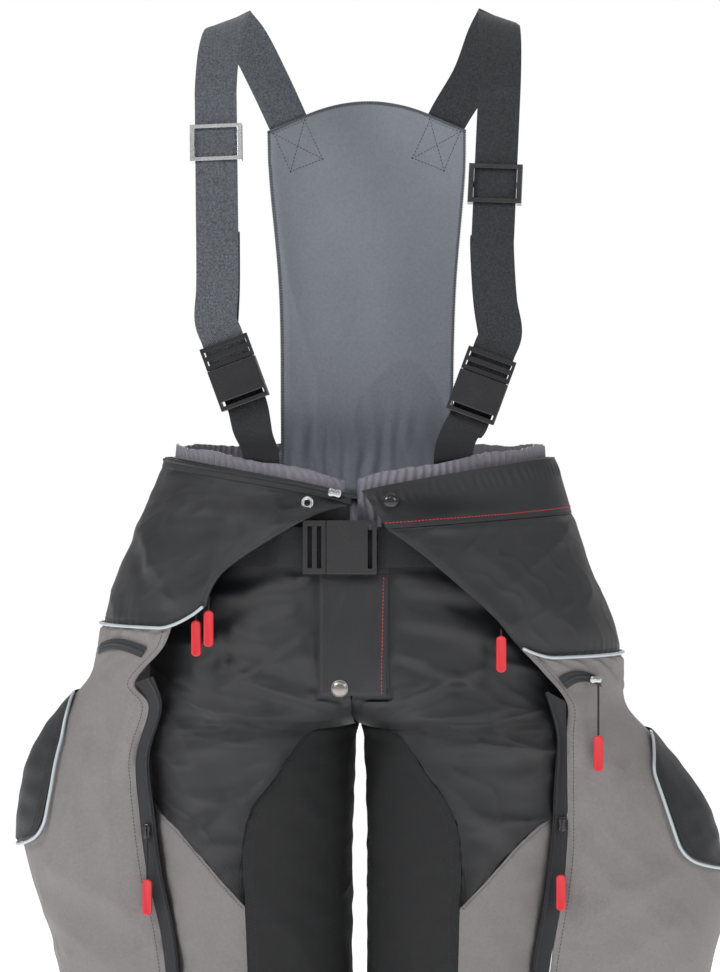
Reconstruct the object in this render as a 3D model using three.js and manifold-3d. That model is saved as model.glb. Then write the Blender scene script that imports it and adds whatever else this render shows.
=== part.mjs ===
// Padded bib over-trousers, worn open: inner trousers, rear bib, elastic braces, belt,
// and two outer leg halves that hang unzipped at the sides. Millimetres, +Z up, the wearer
// faces -Y, and the origin is the centre of the waist opening.
import * as THREE from "three";
import { mergeVertices } from "three/addons/utils/BufferGeometryUtils.js";
import Module from "manifold-3d";

const wasm = await Module();
wasm.setup();

// Driving dimensions
const RISE = 225; // waist opening down to the crotch
const INSEAM = 780; // crotch down to the hem
const WAIST_HALF_WIDTH = 177;
const WAIST_HALF_DEPTH = 112;
const HIP_HALF_WIDTH = 197;
const KNEE_HALF_WIDTH = 171; // middle of the body to the outside of the knee
const HEM_HALF_WIDTH = 160;
const CLOTH = 3; // padded inner trousers
const SHELL = 2.4; // outer leg halves and yokes
const SEAM = 0.2; // half of the gap left at each seam
const BAND_DIP = 33; // how far the waistband falls from the side to the front
const BAND_HEIGHT = 33;
const WEB_WIDTH = 38; // brace webbing
const WEB = 1.8; // webbing thickness
const BELT_WIDTH = 36;
const BIB_TOP = 345; // above the waist opening
const BIB_HALF_WIDTH = 94;
const SHOULDER_TOP = 425;
const SHOULDER_X = 121;
const BRACE_X = 124; // middle of the front brace at the chest
const FLAP_WIDTH = 62; // fly flap
const FLAP_TOP = -85;
const FLAP_LENGTH = 108;
const PULL_LENGTH = 33; // moulded zip pullers
const PULL_WIDTH = 10;
const PIPE = 3; // piping cord across its width
const PATCH = 1.2; // side patches
const PATCH_LIE = 3; // how far a side patch stands off the leg
const ZIP_TAPE = 9; // one side of a zip, across its tape
const LINING = 2; // gathered elastic lining
const LINING_GAP = 0.9; // gathers lie slack against the bands
const LINING_RISE = 11; // how far the gathered edge stands above the band
const BIB = 2.5;
const FIT = 0.4; // clearance of webbing in its buckles and sliders

const CROTCH = -RISE;
const HEM = -RISE - INSEAM;
const RAD = Math.PI / 180;
const root = new THREE.Group();

const FINISH = {
  nylon: { color: 0x24262b, roughness: 0.5, metalness: 0 },
  reinforcement: { color: 0x1f2124, roughness: 0.8, metalness: 0 },
  grey: { color: 0x6c6767, roughness: 0.75, metalness: 0 },
  patch: { color: 0x191b20, roughness: 0.6, metalness: 0 },
  lining: { color: 0x5b5763, roughness: 0.45, metalness: 0 },
  bib: { color: 0x646a73, roughness: 0.7, metalness: 0 },
  webbing: { color: 0x3a3d43, roughness: 0.9, metalness: 0 },
  piping: { color: 0xb4c3cd, roughness: 0.4, metalness: 0 },
  plastic: { color: 0x101113, roughness: 0.35, metalness: 0 },
  metal: { color: 0xb9bcc0, roughness: 0.25, metalness: 1 },
  red: { color: 0xe12d37, roughness: 0.45, metalness: 0 },
};

// Smooth curve through [height, value] keys, highest first.
function profile(keys) {
  const slope = keys.map((key, i) => {
    const a = keys[Math.max(i - 1, 0)];
    const b = keys[Math.min(i + 1, keys.length - 1)];
    return (b[1] - a[1]) / (b[0] - a[0]);
  });
  return (z) => {
    if (z >= keys[0][0]) return keys[0][1];
    const last = keys.length - 1;
    if (z <= keys[last][0]) return keys[last][1];
    const i = keys.findIndex((key) => key[0] < z) - 1;
    const span = keys[i + 1][0] - keys[i][0];
    const t = (z - keys[i][0]) / span;
    return (
      keys[i][1] * (1 + 2 * t) * (1 - t) ** 2 +
      slope[i] * span * t * (1 - t) ** 2 +
      keys[i + 1][1] * t * t * (3 - 2 * t) +
      slope[i + 1] * span * t * t * (t - 1)
    );
  };
}

const bodyOuter = profile([
  [40, WAIST_HALF_WIDTH - 2],
  [0, WAIST_HALF_WIDTH],
  [-0.65 * RISE, HIP_HALF_WIDTH - 4],
  [CROTCH, HIP_HALF_WIDTH],
  [CROTCH - 0.14 * INSEAM, HIP_HALF_WIDTH - 8],
  [CROTCH - 0.3 * INSEAM, KNEE_HALF_WIDTH],
  [CROTCH - 0.45 * INSEAM, KNEE_HALF_WIDTH - 9],
  [CROTCH - 0.7 * INSEAM, HEM_HALF_WIDTH + 2],
  [HEM, HEM_HALF_WIDTH],
]);
const legInner = profile([
  [CROTCH, 0],
  [CROTCH - 15, 4],
  [CROTCH - 0.3 * INSEAM, 7],
  [CROTCH - 0.6 * INSEAM, 15],
  [HEM, 20],
]);
const bodyDepth = profile([
  [40, WAIST_HALF_DEPTH],
  [0, WAIST_HALF_DEPTH],
  [-0.3 * RISE, WAIST_HALF_DEPTH + 5],
  [-0.7 * RISE, WAIST_HALF_DEPTH + 9],
  [CROTCH, WAIST_HALF_DEPTH],
  [CROTCH - 0.14 * INSEAM, WAIST_HALF_DEPTH - 12],
  [CROTCH - 0.3 * INSEAM, WAIST_HALF_DEPTH - 26],
  [CROTCH - 0.45 * INSEAM, WAIST_HALF_DEPTH - 32],
  [HEM, WAIST_HALF_DEPTH - 36],
]);
const bodyMiddle = profile([
  [0, 0],
  [-0.7 * RISE, 4],
  [CROTCH, 4],
  [CROTCH - 0.3 * INSEAM, -4],
  [CROTCH - 0.45 * INSEAM, -6],
  [HEM, 8],
]);

// Middle of one leg's cross-section: it leaves the body's middle as the legs part.
function legMiddle(z) {
  if (z < CROTCH) return (bodyOuter(z) + legInner(z)) / 2;
  return (bodyOuter(z) / 2) * Math.max(0, z / CROTCH) ** 4;
}

// Angle at which one half meets the centre seam: 90 degrees at the waist, 180 at the crotch.
function centreAngle(z) {
  if (z <= CROTCH) return 180;
  const middle = legMiddle(z);
  const half = bodyOuter(z) - middle;
  return 180 - Math.acos(Math.min(1, middle / half)) / RAD;
}

// A point on the trousers: angle 0 is the outside, 90 the front, 180 the inside, -90 the back.
function skin(side, angle, z, out = 0) {
  const middle = legMiddle(z);
  const half = bodyOuter(z) - middle;
  return new THREE.Vector3(
    side * (middle + (half + out) * Math.cos(angle * RAD)),
    bodyMiddle(z) - (bodyDepth(z) + out) * Math.sin(angle * RAD),
    z,
  );
}

// A closed solid from a list of points and triangles, faces outwards.
function closed(points, faces) {
  let volume = 0;
  const cross = new THREE.Vector3();
  for (const [a, b, c] of faces) volume += points[a].dot(cross.crossVectors(points[b], points[c]));
  const index = faces.flatMap(([a, b, c]) => (volume < 0 ? [a, c, b] : [a, b, c]));
  const geometry = new THREE.BufferGeometry().setFromPoints(points);
  geometry.setIndex(index);
  geometry.computeVertexNormals();
  return geometry;
}

// A closed sheet. at(u, v, layer) gives its outer face for layer 0 and its inner one for 1.
function cloth(at, columns, rows) {
  const points = [];
  for (let layer = 0; layer < 2; layer += 1)
    for (let j = 0; j <= rows; j += 1)
      for (let i = 0; i <= columns; i += 1) points.push(at(i / columns, j / rows, layer));
  const width = columns + 1;
  const one = width * (rows + 1);
  const faces = [];
  const quad = (a, b, c, d) => faces.push([a, b, c], [a, c, d]);
  for (let j = 0; j < rows; j += 1)
    for (let i = 0; i < columns; i += 1) {
      const a = j * width + i;
      quad(a, a + 1, a + width + 1, a + width);
      quad(one + a, one + a + width, one + a + width + 1, one + a + 1);
    }
  for (let i = 0; i < columns; i += 1) {
    const low = rows * width + i;
    quad(i + 1, i, one + i, one + i + 1);
    quad(low, low + 1, one + low + 1, one + low);
  }
  for (let j = 0; j < rows; j += 1) {
    const a = j * width;
    const b = a + columns;
    quad(a, a + width, one + a + width, one + a);
    quad(b + width, b, one + b, one + b + width);
  }
  return closed(points, faces);
}

// Flat webbing along stations of { at, across }, with a rectangular section.
function webbing(stations, width, thickness, steps) {
  const spine = new THREE.CatmullRomCurve3(stations.map((s) => s.at), false, "centripetal");
  const turn = new THREE.CatmullRomCurve3(stations.map((s) => s.across), false, "centripetal");
  const points = [];
  const faces = [];
  for (let k = 0; k <= steps; k += 1) {
    const t = spine.getUtoTmapping(k / steps);
    const middle = spine.getPoint(t);
    const tangent = spine.getTangent(t);
    const across = turn.getPoint(t).addScaledVector(tangent, -turn.getPoint(t).dot(tangent));
    across.normalize();
    const face = new THREE.Vector3().crossVectors(tangent, across).normalize();
    for (const [a, b] of [[-1, -1], [1, -1], [1, 1], [-1, 1]])
      points.push(
        middle.clone().addScaledVector(across, (a * width) / 2).addScaledVector(face, (b * thickness) / 2),
      );
  }
  for (let k = 0; k < steps; k += 1)
    for (let i = 0; i < 4; i += 1) {
      const a = 4 * k + i;
      const b = 4 * k + ((i + 1) % 4);
      faces.push([a, b, b + 4], [a, b + 4, a + 4]);
    }
  const end = 4 * steps;
  faces.push([0, 2, 1], [0, 3, 2], [end, end + 1, end + 2], [end, end + 2, end + 3]);
  return closed(points, faces);
}

// Boolean work on closed geometries.
function solid(geometry) {
  geometry.deleteAttribute("normal");
  geometry.deleteAttribute("uv");
  const merged = mergeVertices(geometry, 1e-4);
  return new wasm.Manifold(
    new wasm.Mesh({
      numProp: 3,
      vertProperties: new Float32Array(merged.attributes.position.array),
      triVerts: new Uint32Array(merged.index.array),
    }),
  );
}

function plain(made) {
  const mesh = made.getMesh();
  const geometry = new THREE.BufferGeometry();
  geometry.setAttribute("position", new THREE.BufferAttribute(mesh.vertProperties, 3));
  geometry.setIndex(new THREE.BufferAttribute(mesh.triVerts, 1));
  geometry.computeVertexNormals();
  return geometry;
}

// A box from its size and its centre.
function box(width, depth, height, x = 0, y = 0, z = 0) {
  return solid(new THREE.BoxGeometry(width, depth, height).translate(x, y, z));
}

function add(name, geometry, finish, parent = root) {
  const mesh = new THREE.Mesh(geometry, new THREE.MeshStandardMaterial(FINISH[finish]));
  mesh.name = name;
  parent.add(mesh);
  return mesh;
}

const lerp = THREE.MathUtils.lerp;
const vec = (x, y, z) => new THREE.Vector3(x, y, z);
const hands = [
  ["left", -1],
  ["right", 1],
];

// Waistband: it falls towards the front, and its lower edge runs with it.
function bandTop(angle) {
  if (angle < 0) return BAND_DIP - 13;
  return -13 + BAND_DIP * Math.abs(Math.cos(angle * RAD)) ** 0.8;
}
function bandBottom(angle) {
  if (angle < 0) return -13 - BAND_HEIGHT + 14;
  return -13 - BAND_HEIGHT + 14 * Math.abs(Math.cos(angle * RAD));
}

// Seams of one leg as [angle, height]. The inner-leg seam leaves the crotch, swings out
// over the thigh and runs down to the hem; the back one is its mirror image.
const KNEE_SEAM = 88;
const below = (share) => CROTCH - share * INSEAM;
const innerSeam = [
  [133, below(0)],
  [125, below(0.006)],
  [114, below(0.04)],
  [97, below(0.087)],
  [91, below(0.12)],
  [88.5, below(0.16)],
  [KNEE_SEAM, below(0.205)],
];
const sideSeam = [
  [0, below(0.017)],
  [0, below(0.035)],
  [0, below(0.06)],
  [0, below(0.083)],
  [20, below(0.096)],
  [50, below(0.124)],
  [80, below(0.187)],
];
const CENTRE_ROWS = [0, 0.16, 0.33, 0.5, 0.66, 0.78, 0.88, 0.94, 0.98, 1];

// Left and right edges of the front panel, row by row from the waistband to its point.
function frontEdges() {
  const start = -13 - BAND_HEIGHT;
  const rows = CENTRE_ROWS.map((share) => {
    const z = lerp(start, CROTCH, share);
    return { side: [0, lerp(start, CROTCH + 8, share)], inner: [centreAngle(z), z] };
  });
  return rows.concat(innerSeam.map((inner, i) => ({ side: sideSeam[i], inner })));
}

function along(rows, v, key) {
  const place = Math.min(v * (rows.length - 1), rows.length - 1 - 1e-9);
  const i = Math.floor(place);
  const t = place - i;
  return [0, 1].map((k) => lerp(rows[i][key][k], rows[i + 1][key][k], t));
}

// The panel's top edge follows the waistband, and the change fades out down the hip.
function settle(angle, z) {
  const start = -13 - BAND_HEIGHT;
  const share = Math.max(0, 1 - (start - z) / 100);
  return z + share * (bandBottom(angle) - start);
}

// Inner trousers
const edges = frontEdges();
const slack = SEAM / WAIST_HALF_DEPTH / RAD;
const KNEE = 0.205; // share of the inseam where the three lower seams meet
const LEG_ROWS = [KNEE, 0.25, 0.3, 0.37, 0.45, 0.52, 0.6, 0.7, 0.8, 0.9, 1];

// Angle of the seam between the inner-leg and lower leg panels.
function legSeam(z) {
  return lerp(KNEE_SEAM, 86, THREE.MathUtils.clamp((below(KNEE) - z) / 74, 0, 1));
}
const innerRows = innerSeam
  .slice(0, -1)
  .concat(LEG_ROWS.map((share) => [legSeam(below(share)), below(share)]))
  .map((inner) => ({ inner }));
const lowerRows = [
  [0, 0.083],
  [20, 0.096],
  [50, 0.124],
  [80, 0.187],
  [KNEE_SEAM, 0.205],
];

// Height of the lower leg panel's top edge at an angle from the outside of the leg.
function lowerTop(angle) {
  const turn = Math.min(Math.abs(angle), KNEE_SEAM);
  const i = lowerRows.findIndex((key, k) => k > 0 && turn <= key[0]);
  const [from, to] = [lowerRows[i - 1], lowerRows[i]];
  return below(lerp(from[1], to[1], (turn - from[0]) / (to[0] - from[0])));
}

for (const [hand, side] of hands) {
  for (const [piece, face] of [["front", 1], ["seat", -1]]) {
    const panel = (u, v, layer) => {
      const outside = along(edges, v, "side");
      const inside = along(edges, v, "inner");
      const angle = face * lerp(outside[0] + slack, inside[0] - slack, u);
      const z = settle(angle, lerp(outside[1], inside[1], u)) + SEAM * (2 * v - 1);
      const point = skin(side, angle, z, -CLOTH * layer);
      point.x = side * Math.max(side * point.x, SEAM);
      return point;
    };
    add(`${hand}_${piece}_panel`, cloth(panel, 8, 16), "nylon");
  }

  const innerPanel = (u, v, layer) => {
    const [angle, seam] = along(innerRows, v, "inner");
    const z = seam - 2 * SEAM * Math.max(0, 1 - 12 * v);
    return skin(side, lerp(angle + slack, 360 - angle - slack, u), z, -CLOTH * layer);
  };
  const innerPanelRows = innerRows.length - 1;
  add(`${hand}_inner_leg_panel`, cloth(innerPanel, 8, innerPanelRows), "reinforcement");

  const lowerPanel = (u, v, layer) => {
    const wide = lerp(-KNEE_SEAM, KNEE_SEAM, u);
    const row = LEG_ROWS[Math.round(v * (LEG_ROWS.length - 1))];
    const top = lowerTop(wide) - 2 * SEAM * Math.max(0, 1 - 12 * v);
    const z = lerp(top, HEM, (row - KNEE) / (1 - KNEE));
    const share = (legSeam(below(row)) - slack) / KNEE_SEAM;
    return skin(side, wide * share, z, -CLOTH * layer);
  };
  add(`${hand}_lower_leg_panel`, cloth(lowerPanel, 14, LEG_ROWS.length - 1), "grey");
}

// Outer halves: one surface per side, hugging the waistband and flaring down over the hip.
const LIE = 1.6; // how far cloth lies off the cloth under it
const OVER = 1.1; // the same for trim on a curved sheet
const PIPE_LINE = { left: -134, right: -160 };
const shellOuter = {
  left: profile([
    [20, WAIST_HALF_WIDTH + SHELL + LIE],
    [-17, HIP_HALF_WIDTH - 3],
    [-88, HIP_HALF_WIDTH + 28],
    [-150, HIP_HALF_WIDTH + 47],
    [-185, HIP_HALF_WIDTH + 59],
    [-236, HIP_HALF_WIDTH + 100],
    [-276, HIP_HALF_WIDTH + 118],
    [-339, HIP_HALF_WIDTH + 125],
    [-426, HIP_HALF_WIDTH + 95],
    [-600, HIP_HALF_WIDTH + 74],
    [HEM, HEM_HALF_WIDTH + 75],
  ]),
  right: profile([
    [20, WAIST_HALF_WIDTH + SHELL + LIE],
    [-11, HIP_HALF_WIDTH - 7],
    [-48, HIP_HALF_WIDTH + 5],
    [-149, HIP_HALF_WIDTH + 41],
    [-208, HIP_HALF_WIDTH + 50],
    [-243, HIP_HALF_WIDTH + 78],
    [-295, HIP_HALF_WIDTH + 116],
    [-340, HIP_HALF_WIDTH + 133],
    [-413, HIP_HALF_WIDTH + 141],
    [-470, HIP_HALF_WIDTH + 120],
    [-600, HIP_HALF_WIDTH + 88],
    [HEM, HEM_HALF_WIDTH + 78],
  ]),
};
const shellMiddle = profile([
  [-120, 0],
  [-155, 20],
  [-185, 80],
  [-206, 120],
  [-240, 160],
  [-340, 160],
  [-457, 145],
  [HEM, 145],
]);
const YOKE_STAND = 4.4; // the left yoke stands this much prouder, over the belt
const depthKeys = (proud) => [
  [20, WAIST_HALF_DEPTH + SHELL + LIE],
  [-13, WAIST_HALF_DEPTH + SHELL + LIE + 1],
  [-35, WAIST_HALF_DEPTH + 22.5 + proud],
  [-50, WAIST_HALF_DEPTH + 25.5 + proud],
  [-90, WAIST_HALF_DEPTH + 31 + proud],
  [-135, WAIST_HALF_DEPTH + 31],
  [-185, WAIST_HALF_DEPTH + 8],
  [-236, WAIST_HALF_DEPTH - 17],
  [HEM, WAIST_HALF_DEPTH - 24],
];
const shellDepth = { left: profile(depthKeys(YOKE_STAND)), right: profile(depthKeys(0)) };
const shellCentre = profile([
  [20, 0],
  [-135, 4],
  [-185, 18],
  [-236, 30],
  [-400, 30],
  [HEM, 20],
]);
const YOKE_COLUMNS = 13;
const BACK_EDGE = -60; // angle of the yokes' and the right band's rear edges
const shellBack = profile([
  [-135, BACK_EDGE],
  [-236, -80],
]);
const shellFront = {
  left: profile([
    [-134, lerp(BACK_EDGE, 56, 1 - 1 / YOKE_COLUMNS)], // one column short of the yoke
    [-155, 46.5],
    [-185, 46],
    [-206, 56],
    [-240, 69],
    [-300, 77],
    [HEM, 79],
  ]),
  right: profile([
    [-160, 52],
    [-206, 51],
    [-229, 63],
    [-290, 78],
    [HEM, 78],
  ]),
};

// A point on an outer half; angle 0 is the outside and 90 the front.
function shell(hand, angle, z, out = 0) {
  const side = hand === "left" ? -1 : 1;
  const middle = shellMiddle(z);
  const half = shellOuter[hand](z) - middle + out;
  return vec(
    side * (middle + half * Math.cos(angle * RAD)),
    shellCentre(z) - (shellDepth[hand](z) + out) * Math.sin(angle * RAD),
    z,
  );
}

// The way out of an outer half's surface.
function shellNormal(hand, angle, z) {
  const round = shell(hand, angle + 1, z).sub(shell(hand, angle - 1, z));
  const down = shell(hand, angle, z - 2).sub(shell(hand, angle, z + 2));
  return round.cross(down).normalize().multiplyScalar(hand === "left" ? -1 : 1);
}

// Height of the piping seam under the yoke: level, then rising at the free front edge.
function pipeLine(hand, angle) {
  return PIPE_LINE[hand] + 20 * THREE.MathUtils.clamp((angle - 44) / 12, 0, 1) ** 2;
}

// Waist: the left band lies under the zip, the right band carries the right yoke.
const leftBand = (u, v, layer) => {
  const angle = lerp(slack, 90 - slack, u);
  return skin(-1, angle, lerp(bandTop(angle), bandBottom(angle) + SEAM, v), -CLOTH * layer);
};
add("left_waistband", cloth(leftBand, 10, 2), "nylon");
const rightBand = (u, v, layer) => {
  const angle = lerp(BACK_EDGE, lerp(87, 80, v), u);
  return shell("right", angle, lerp(bandTop(angle), bandBottom(angle) + SEAM, v), -CLOTH * layer);
};
add("right_waistband", cloth(rightBand, 12, 4), "nylon");
const rearBand = (u, v, layer) => {
  const angle = -lerp(slack, 180 - slack, u);
  return skin(1, angle, lerp(bandTop(-1), bandBottom(-1) + SEAM, v), -CLOTH * layer);
};
add("rear_waistband", cloth(rearBand, 20, 2), "nylon");

const elastic = (u, v, layer) => {
  const angle = lerp(88, -268, u);
  const top = bandTop(angle < -180 ? -180 - angle : angle) + LINING_RISE;
  return skin(1, angle, lerp(top, -13 - BAND_HEIGHT, v), -CLOTH - LINING_GAP - LINING * layer);
};
add("elastic_waist_lining", cloth(elastic, 36, 2), "lining");

// Left yoke hangs from the waist zip, the right one from the right band.
const yokeFront = {
  left: profile([
    [1, 56],
    [0.85, 57.5],
    [0.7, 60],
    [0.5, 67.5],
    [0.17, 81],
    [0, 90.5],
  ]),
  right: profile([
    [1, 52],
    [0.63, 61],
    [0.25, 71.6],
    [0, 80],
  ]),
};
const yokeTop = {
  left: (angle) => bandTop(angle) - ZIP_TAPE - 2 * SEAM,
  right: (angle) => bandBottom(angle) - 2 * SEAM,
};
const LEG_FALL = 15;
const TAPE_START = 2; // the side zip begins this many rows below the piping
const outerLegs = {};
for (const [hand, side] of hands) {
  const yoke = (u, v, layer) => {
    const fall = v ** 1.4;
    const angle = lerp(BACK_EDGE, yokeFront[hand](fall), u);
    const z = lerp(yokeTop[hand](angle), pipeLine(hand, angle) + SEAM, fall);
    return shell(hand, angle, z, -SHELL * layer);
  };
  add(`${hand}_yoke`, cloth(yoke, YOKE_COLUMNS, 6), "nylon");

  const pipeStations = [];
  for (let k = 0; k <= 12; k += 1) {
    const angle = lerp(BACK_EDGE, yokeFront[hand](1), k / 12);
    pipeStations.push({
      at: shell(hand, angle, pipeLine(hand, angle), PIPE / 2 + OVER + SEAM),
      across: vec(0, 0, 1),
    });
  }
  add(`${hand}_yoke_piping`, webbing(pipeStations, PIPE, PIPE, 13), "piping");

  // Everything below the piping swings together on the yoke's lower seam.
  const half = new THREE.Group();
  root.add(half);
  outerLegs[hand] = half;
  const leg = (u, v, layer) => {
    const fall = v ** 1.4;
    const rough = lerp(PIPE_LINE[hand], HEM, fall);
    const angle = lerp(shellFront[hand](rough), shellBack(rough), u);
    const z = lerp(pipeLine(hand, angle) - SEAM, HEM, fall);
    return shell(hand, angle, z, -SHELL * layer);
  };
  const columns = hand === "left" ? YOKE_COLUMNS - 1 : YOKE_COLUMNS;
  add(`${hand}_outer_leg`, cloth(leg, columns, LEG_FALL), "grey", half);

  // Side patch over the outside of the knee, edged by its own piping.
  const low = hand === "left" ? -340 : -356;
  const top = hand === "left" ? -199 : -233;
  const down = (share) => lerp(top, low, share);
  const patchFront = profile([
    [down(0), 10],
    [down(0.12), 24],
    [down(0.3), 36],
    [down(0.75), 38],
    [down(0.93), 31],
    [down(1), 14],
  ]);
  const patch = (u, v, layer) => {
    const z = down(v);
    return shell(hand, lerp(-50, patchFront(z), u), z, PATCH_LIE + PATCH * (1 - layer));
  };
  add(`${hand}_side_patch`, cloth(patch, 9, 9), "patch", half);
  const edge = [];
  for (let k = 0; k <= 9; k += 1) {
    const z = down(k / 9);
    edge.push([patchFront(z) + 1.9, z - 3.2 * (k / 9)]);
  }
  for (let k = 1; k <= 5; k += 1) edge.push([lerp(14, -50, k / 5), low - 3.2]);
  const cord = edge.map(([angle, z]) => ({
    at: shell(hand, angle, z, PATCH_LIE + PIPE / 2),
    across: shell(hand, angle, z, 1).sub(shell(hand, angle, z)),
  }));
  add(`${hand}_patch_piping`, webbing(cord, PIPE, PIPE, 16), "piping", half);

  // Side zip: its tape continues the leg's free front edge.
  const tape = (u, v, layer) => {
    const fall = lerp(TAPE_START / LEG_FALL, 1, v) ** 1.4;
    const rough = lerp(PIPE_LINE[hand], HEM, fall);
    const angle = shellFront[hand](rough) + (2 * SEAM + ZIP_TAPE * u) / 105 / RAD;
    const z = lerp(pipeLine(hand, angle) - SEAM, HEM, fall);
    return shell(hand, angle, z, -SHELL / 2 - (SHELL / 2) * layer);
  };
  add(`${hand}_side_zip_tape`, cloth(tape, 1, LEG_FALL - TAPE_START), "patch", half);
}

// Waist zip along the top of the left yoke.
const waistTape = (u, v, layer) => {
  const angle = lerp(BACK_EDGE, 90.5, u);
  return shell("left", angle, lerp(bandTop(angle), bandTop(angle) - ZIP_TAPE, v), -SHELL * layer);
};
add("waist_zip_tape", cloth(waistTape, 14, 1), "patch");

// Fly: a facing sewn to the front, and a flap that swings on its right edge.
const FACING = 1.6;
const FLAP = 2.4;
const flyX = [4 - FLAP_WIDTH / 2, 4 + FLAP_WIDTH / 2];
const flyY = (z) => bodyMiddle(z) - bodyDepth(z) - 0.6;
const facing = (u, v, layer) => {
  const z = lerp(-14 - BAND_HEIGHT, FLAP_TOP - FLAP_LENGTH + 6, v);
  return vec(lerp(flyX[0] + 6, flyX[1], u), flyY(z) - FACING * (1 - layer), z);
};
add("fly_facing", cloth(facing, 2, 6), "nylon");
const flap = (u, v, layer) => {
  const z = lerp(FLAP_TOP, FLAP_TOP - FLAP_LENGTH, v);
  const x = lerp(flyX[0], flyX[1] - 0.5 - 2 * v, u);
  return vec(x, flyY(z) - FACING - FIT - FLAP * (1 - layer), z);
};
add("fly_flap", cloth(flap, 2, 6), "nylon");

// Bib: a curved sheet sewn inside the rear of the waist.
const bibHalf = profile([
  [BIB_TOP, BIB_HALF_WIDTH],
  [300, BIB_HALF_WIDTH - 1],
  [181, BIB_HALF_WIDTH - 10],
  [60, BIB_HALF_WIDTH - 12],
  [-20, BIB_HALF_WIDTH - 10],
]);
const BIB_CURVE = 542; // twice the radius of its bend round the back
const bibDepth = profile([
  [BIB_TOP, 96],
  [200, 103],
  [70, 97],
  [20, WAIST_HALF_DEPTH - 8.5],
  [-20, WAIST_HALF_DEPTH - 8.5],
]);
const bibTop = (x) =>
  Math.abs(x) < 58 ? BIB_TOP + 13 * (1 - (x / 58) ** 2) : BIB_TOP - (Math.abs(x) - 58) * 0.45;
const bib = (u, v, layer) => {
  const rough = lerp(BIB_TOP, -20, v);
  const x = lerp(-1, 1, u) * bibHalf(rough);
  const z = lerp(bibTop(x), -20, v);
  return vec(x, bibDepth(z) - (x * x) / BIB_CURVE - BIB * layer, z);
};
add("bib_panel", cloth(bib, 10, 9), "bib");

// Braces. The rear strap is sewn behind the bib's corner and climbs to the shoulder; the front
// one runs straight through its slider, then down to the side-release buckle.
const BUCKLE_WIDTH = WEB_WIDTH + 7;
const BUCKLE_DEPTH = 11;
const SOCKET_HEIGHT = 38;
const LADDER_HEIGHT = 21;
const WALL = 1.8;
const ARM_LENGTH = 16; // how deep the plug sits in its socket
const BUCKLE_TILT = 20.2; // degrees from upright, feet towards the middle
const BRACE_Y = -(WAIST_HALF_DEPTH + 8); // plane of the buckles
const SOCKET_FOOT = { left: vec(-93, BRACE_Y, 68), right: vec(107, BRACE_Y, 56) };
const BRACE_SHIFT = { left: 0, right: 8 };
const PLATE_OFF = 3.4; // webbing to the middle of the ladder plate that grips it

// A point on a buckle's own axis, so far above its foot.
function onAxis(hand, side, height) {
  const foot = SOCKET_FOOT[hand];
  return vec(
    foot.x + side * height * Math.sin(BUCKLE_TILT * RAD),
    foot.y,
    foot.z + height * Math.cos(BUCKLE_TILT * RAD),
  );
}

// Socket: a flat shell open above, windows for the arms' barbs, a bar for the webbing below.
function socket(width, depth, height, slotWidth) {
  const slot = 4;
  const bar = 4;
  const floor = slot + bar + 3;
  const cavity = height - floor + 1;
  return plain(
    box(width, depth, height, 0, 0, height / 2)
      .subtract(box(width - 2 * WALL, depth - 2 * WALL, cavity, 0, 0, floor + cavity / 2))
      .subtract(box(width + 2, depth - 2 * WALL, 9, 0, 0, floor + 7))
      .subtract(box(slotWidth, depth + 2, slot, 0, 0, bar + slot / 2)),
  );
}

// Plug: a ladder plate for the webbing, two arms with barbs and a tongue between them.
function plug(width, depth, height, ladder, slotWidth, reach) {
  const inner = width - 2 * WALL - 2 * FIT;
  const face = depth / 2 - WALL - FIT;
  const back = PLATE_OFF - WEB / 2 - 1.5 * FIT;
  const thick = face + back;
  const middle = (back - face) / 2;
  const arm = 5;
  const bar = (ladder - 8) / 3;
  const plate = 4;
  return plain(
    box(width, plate, ladder, 0, 0, height + FIT + ladder / 2)
      .subtract(box(slotWidth, plate + 2, 4, 0, 0, height + FIT + bar + 2))
      .subtract(box(slotWidth, plate + 2, 4, 0, 0, height + FIT + 2 * bar + 6))
      .add(box(inner, 3, 4, 0, 0, height - 1))
      .add(box(arm, thick, reach, -inner / 2 + arm / 2, middle, height - reach / 2))
      .add(box(arm, thick, reach, inner / 2 - arm / 2, middle, height - reach / 2))
      .add(box(inner * 0.3, thick, reach - 2, 0, middle, height - reach / 2 + 1)),
  );
}

// Slider: front bars above and below the webbing, a rear bar between, and two side posts.
function slider(width, height, bar) {
  const gap = WEB + 2 * FIT;
  const post = (width - WEB_WIDTH - 2 * FIT) / 2;
  const face = -gap / 2 - bar / 2;
  const sides = [-1, 1].map((x) =>
    box(post, gap + 2 * bar, height, (x * (width - post)) / 2, 0, 0),
  );
  return plain(
    sides[0]
      .add(sides[1])
      .add(box(width, bar, bar + 1, 0, face, (height - bar - 1) / 2))
      .add(box(width, bar, bar + 1, 0, face, -(height - bar - 1) / 2))
      .add(box(width, bar, bar + 2, 0, -face, 0)),
  );
}

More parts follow.
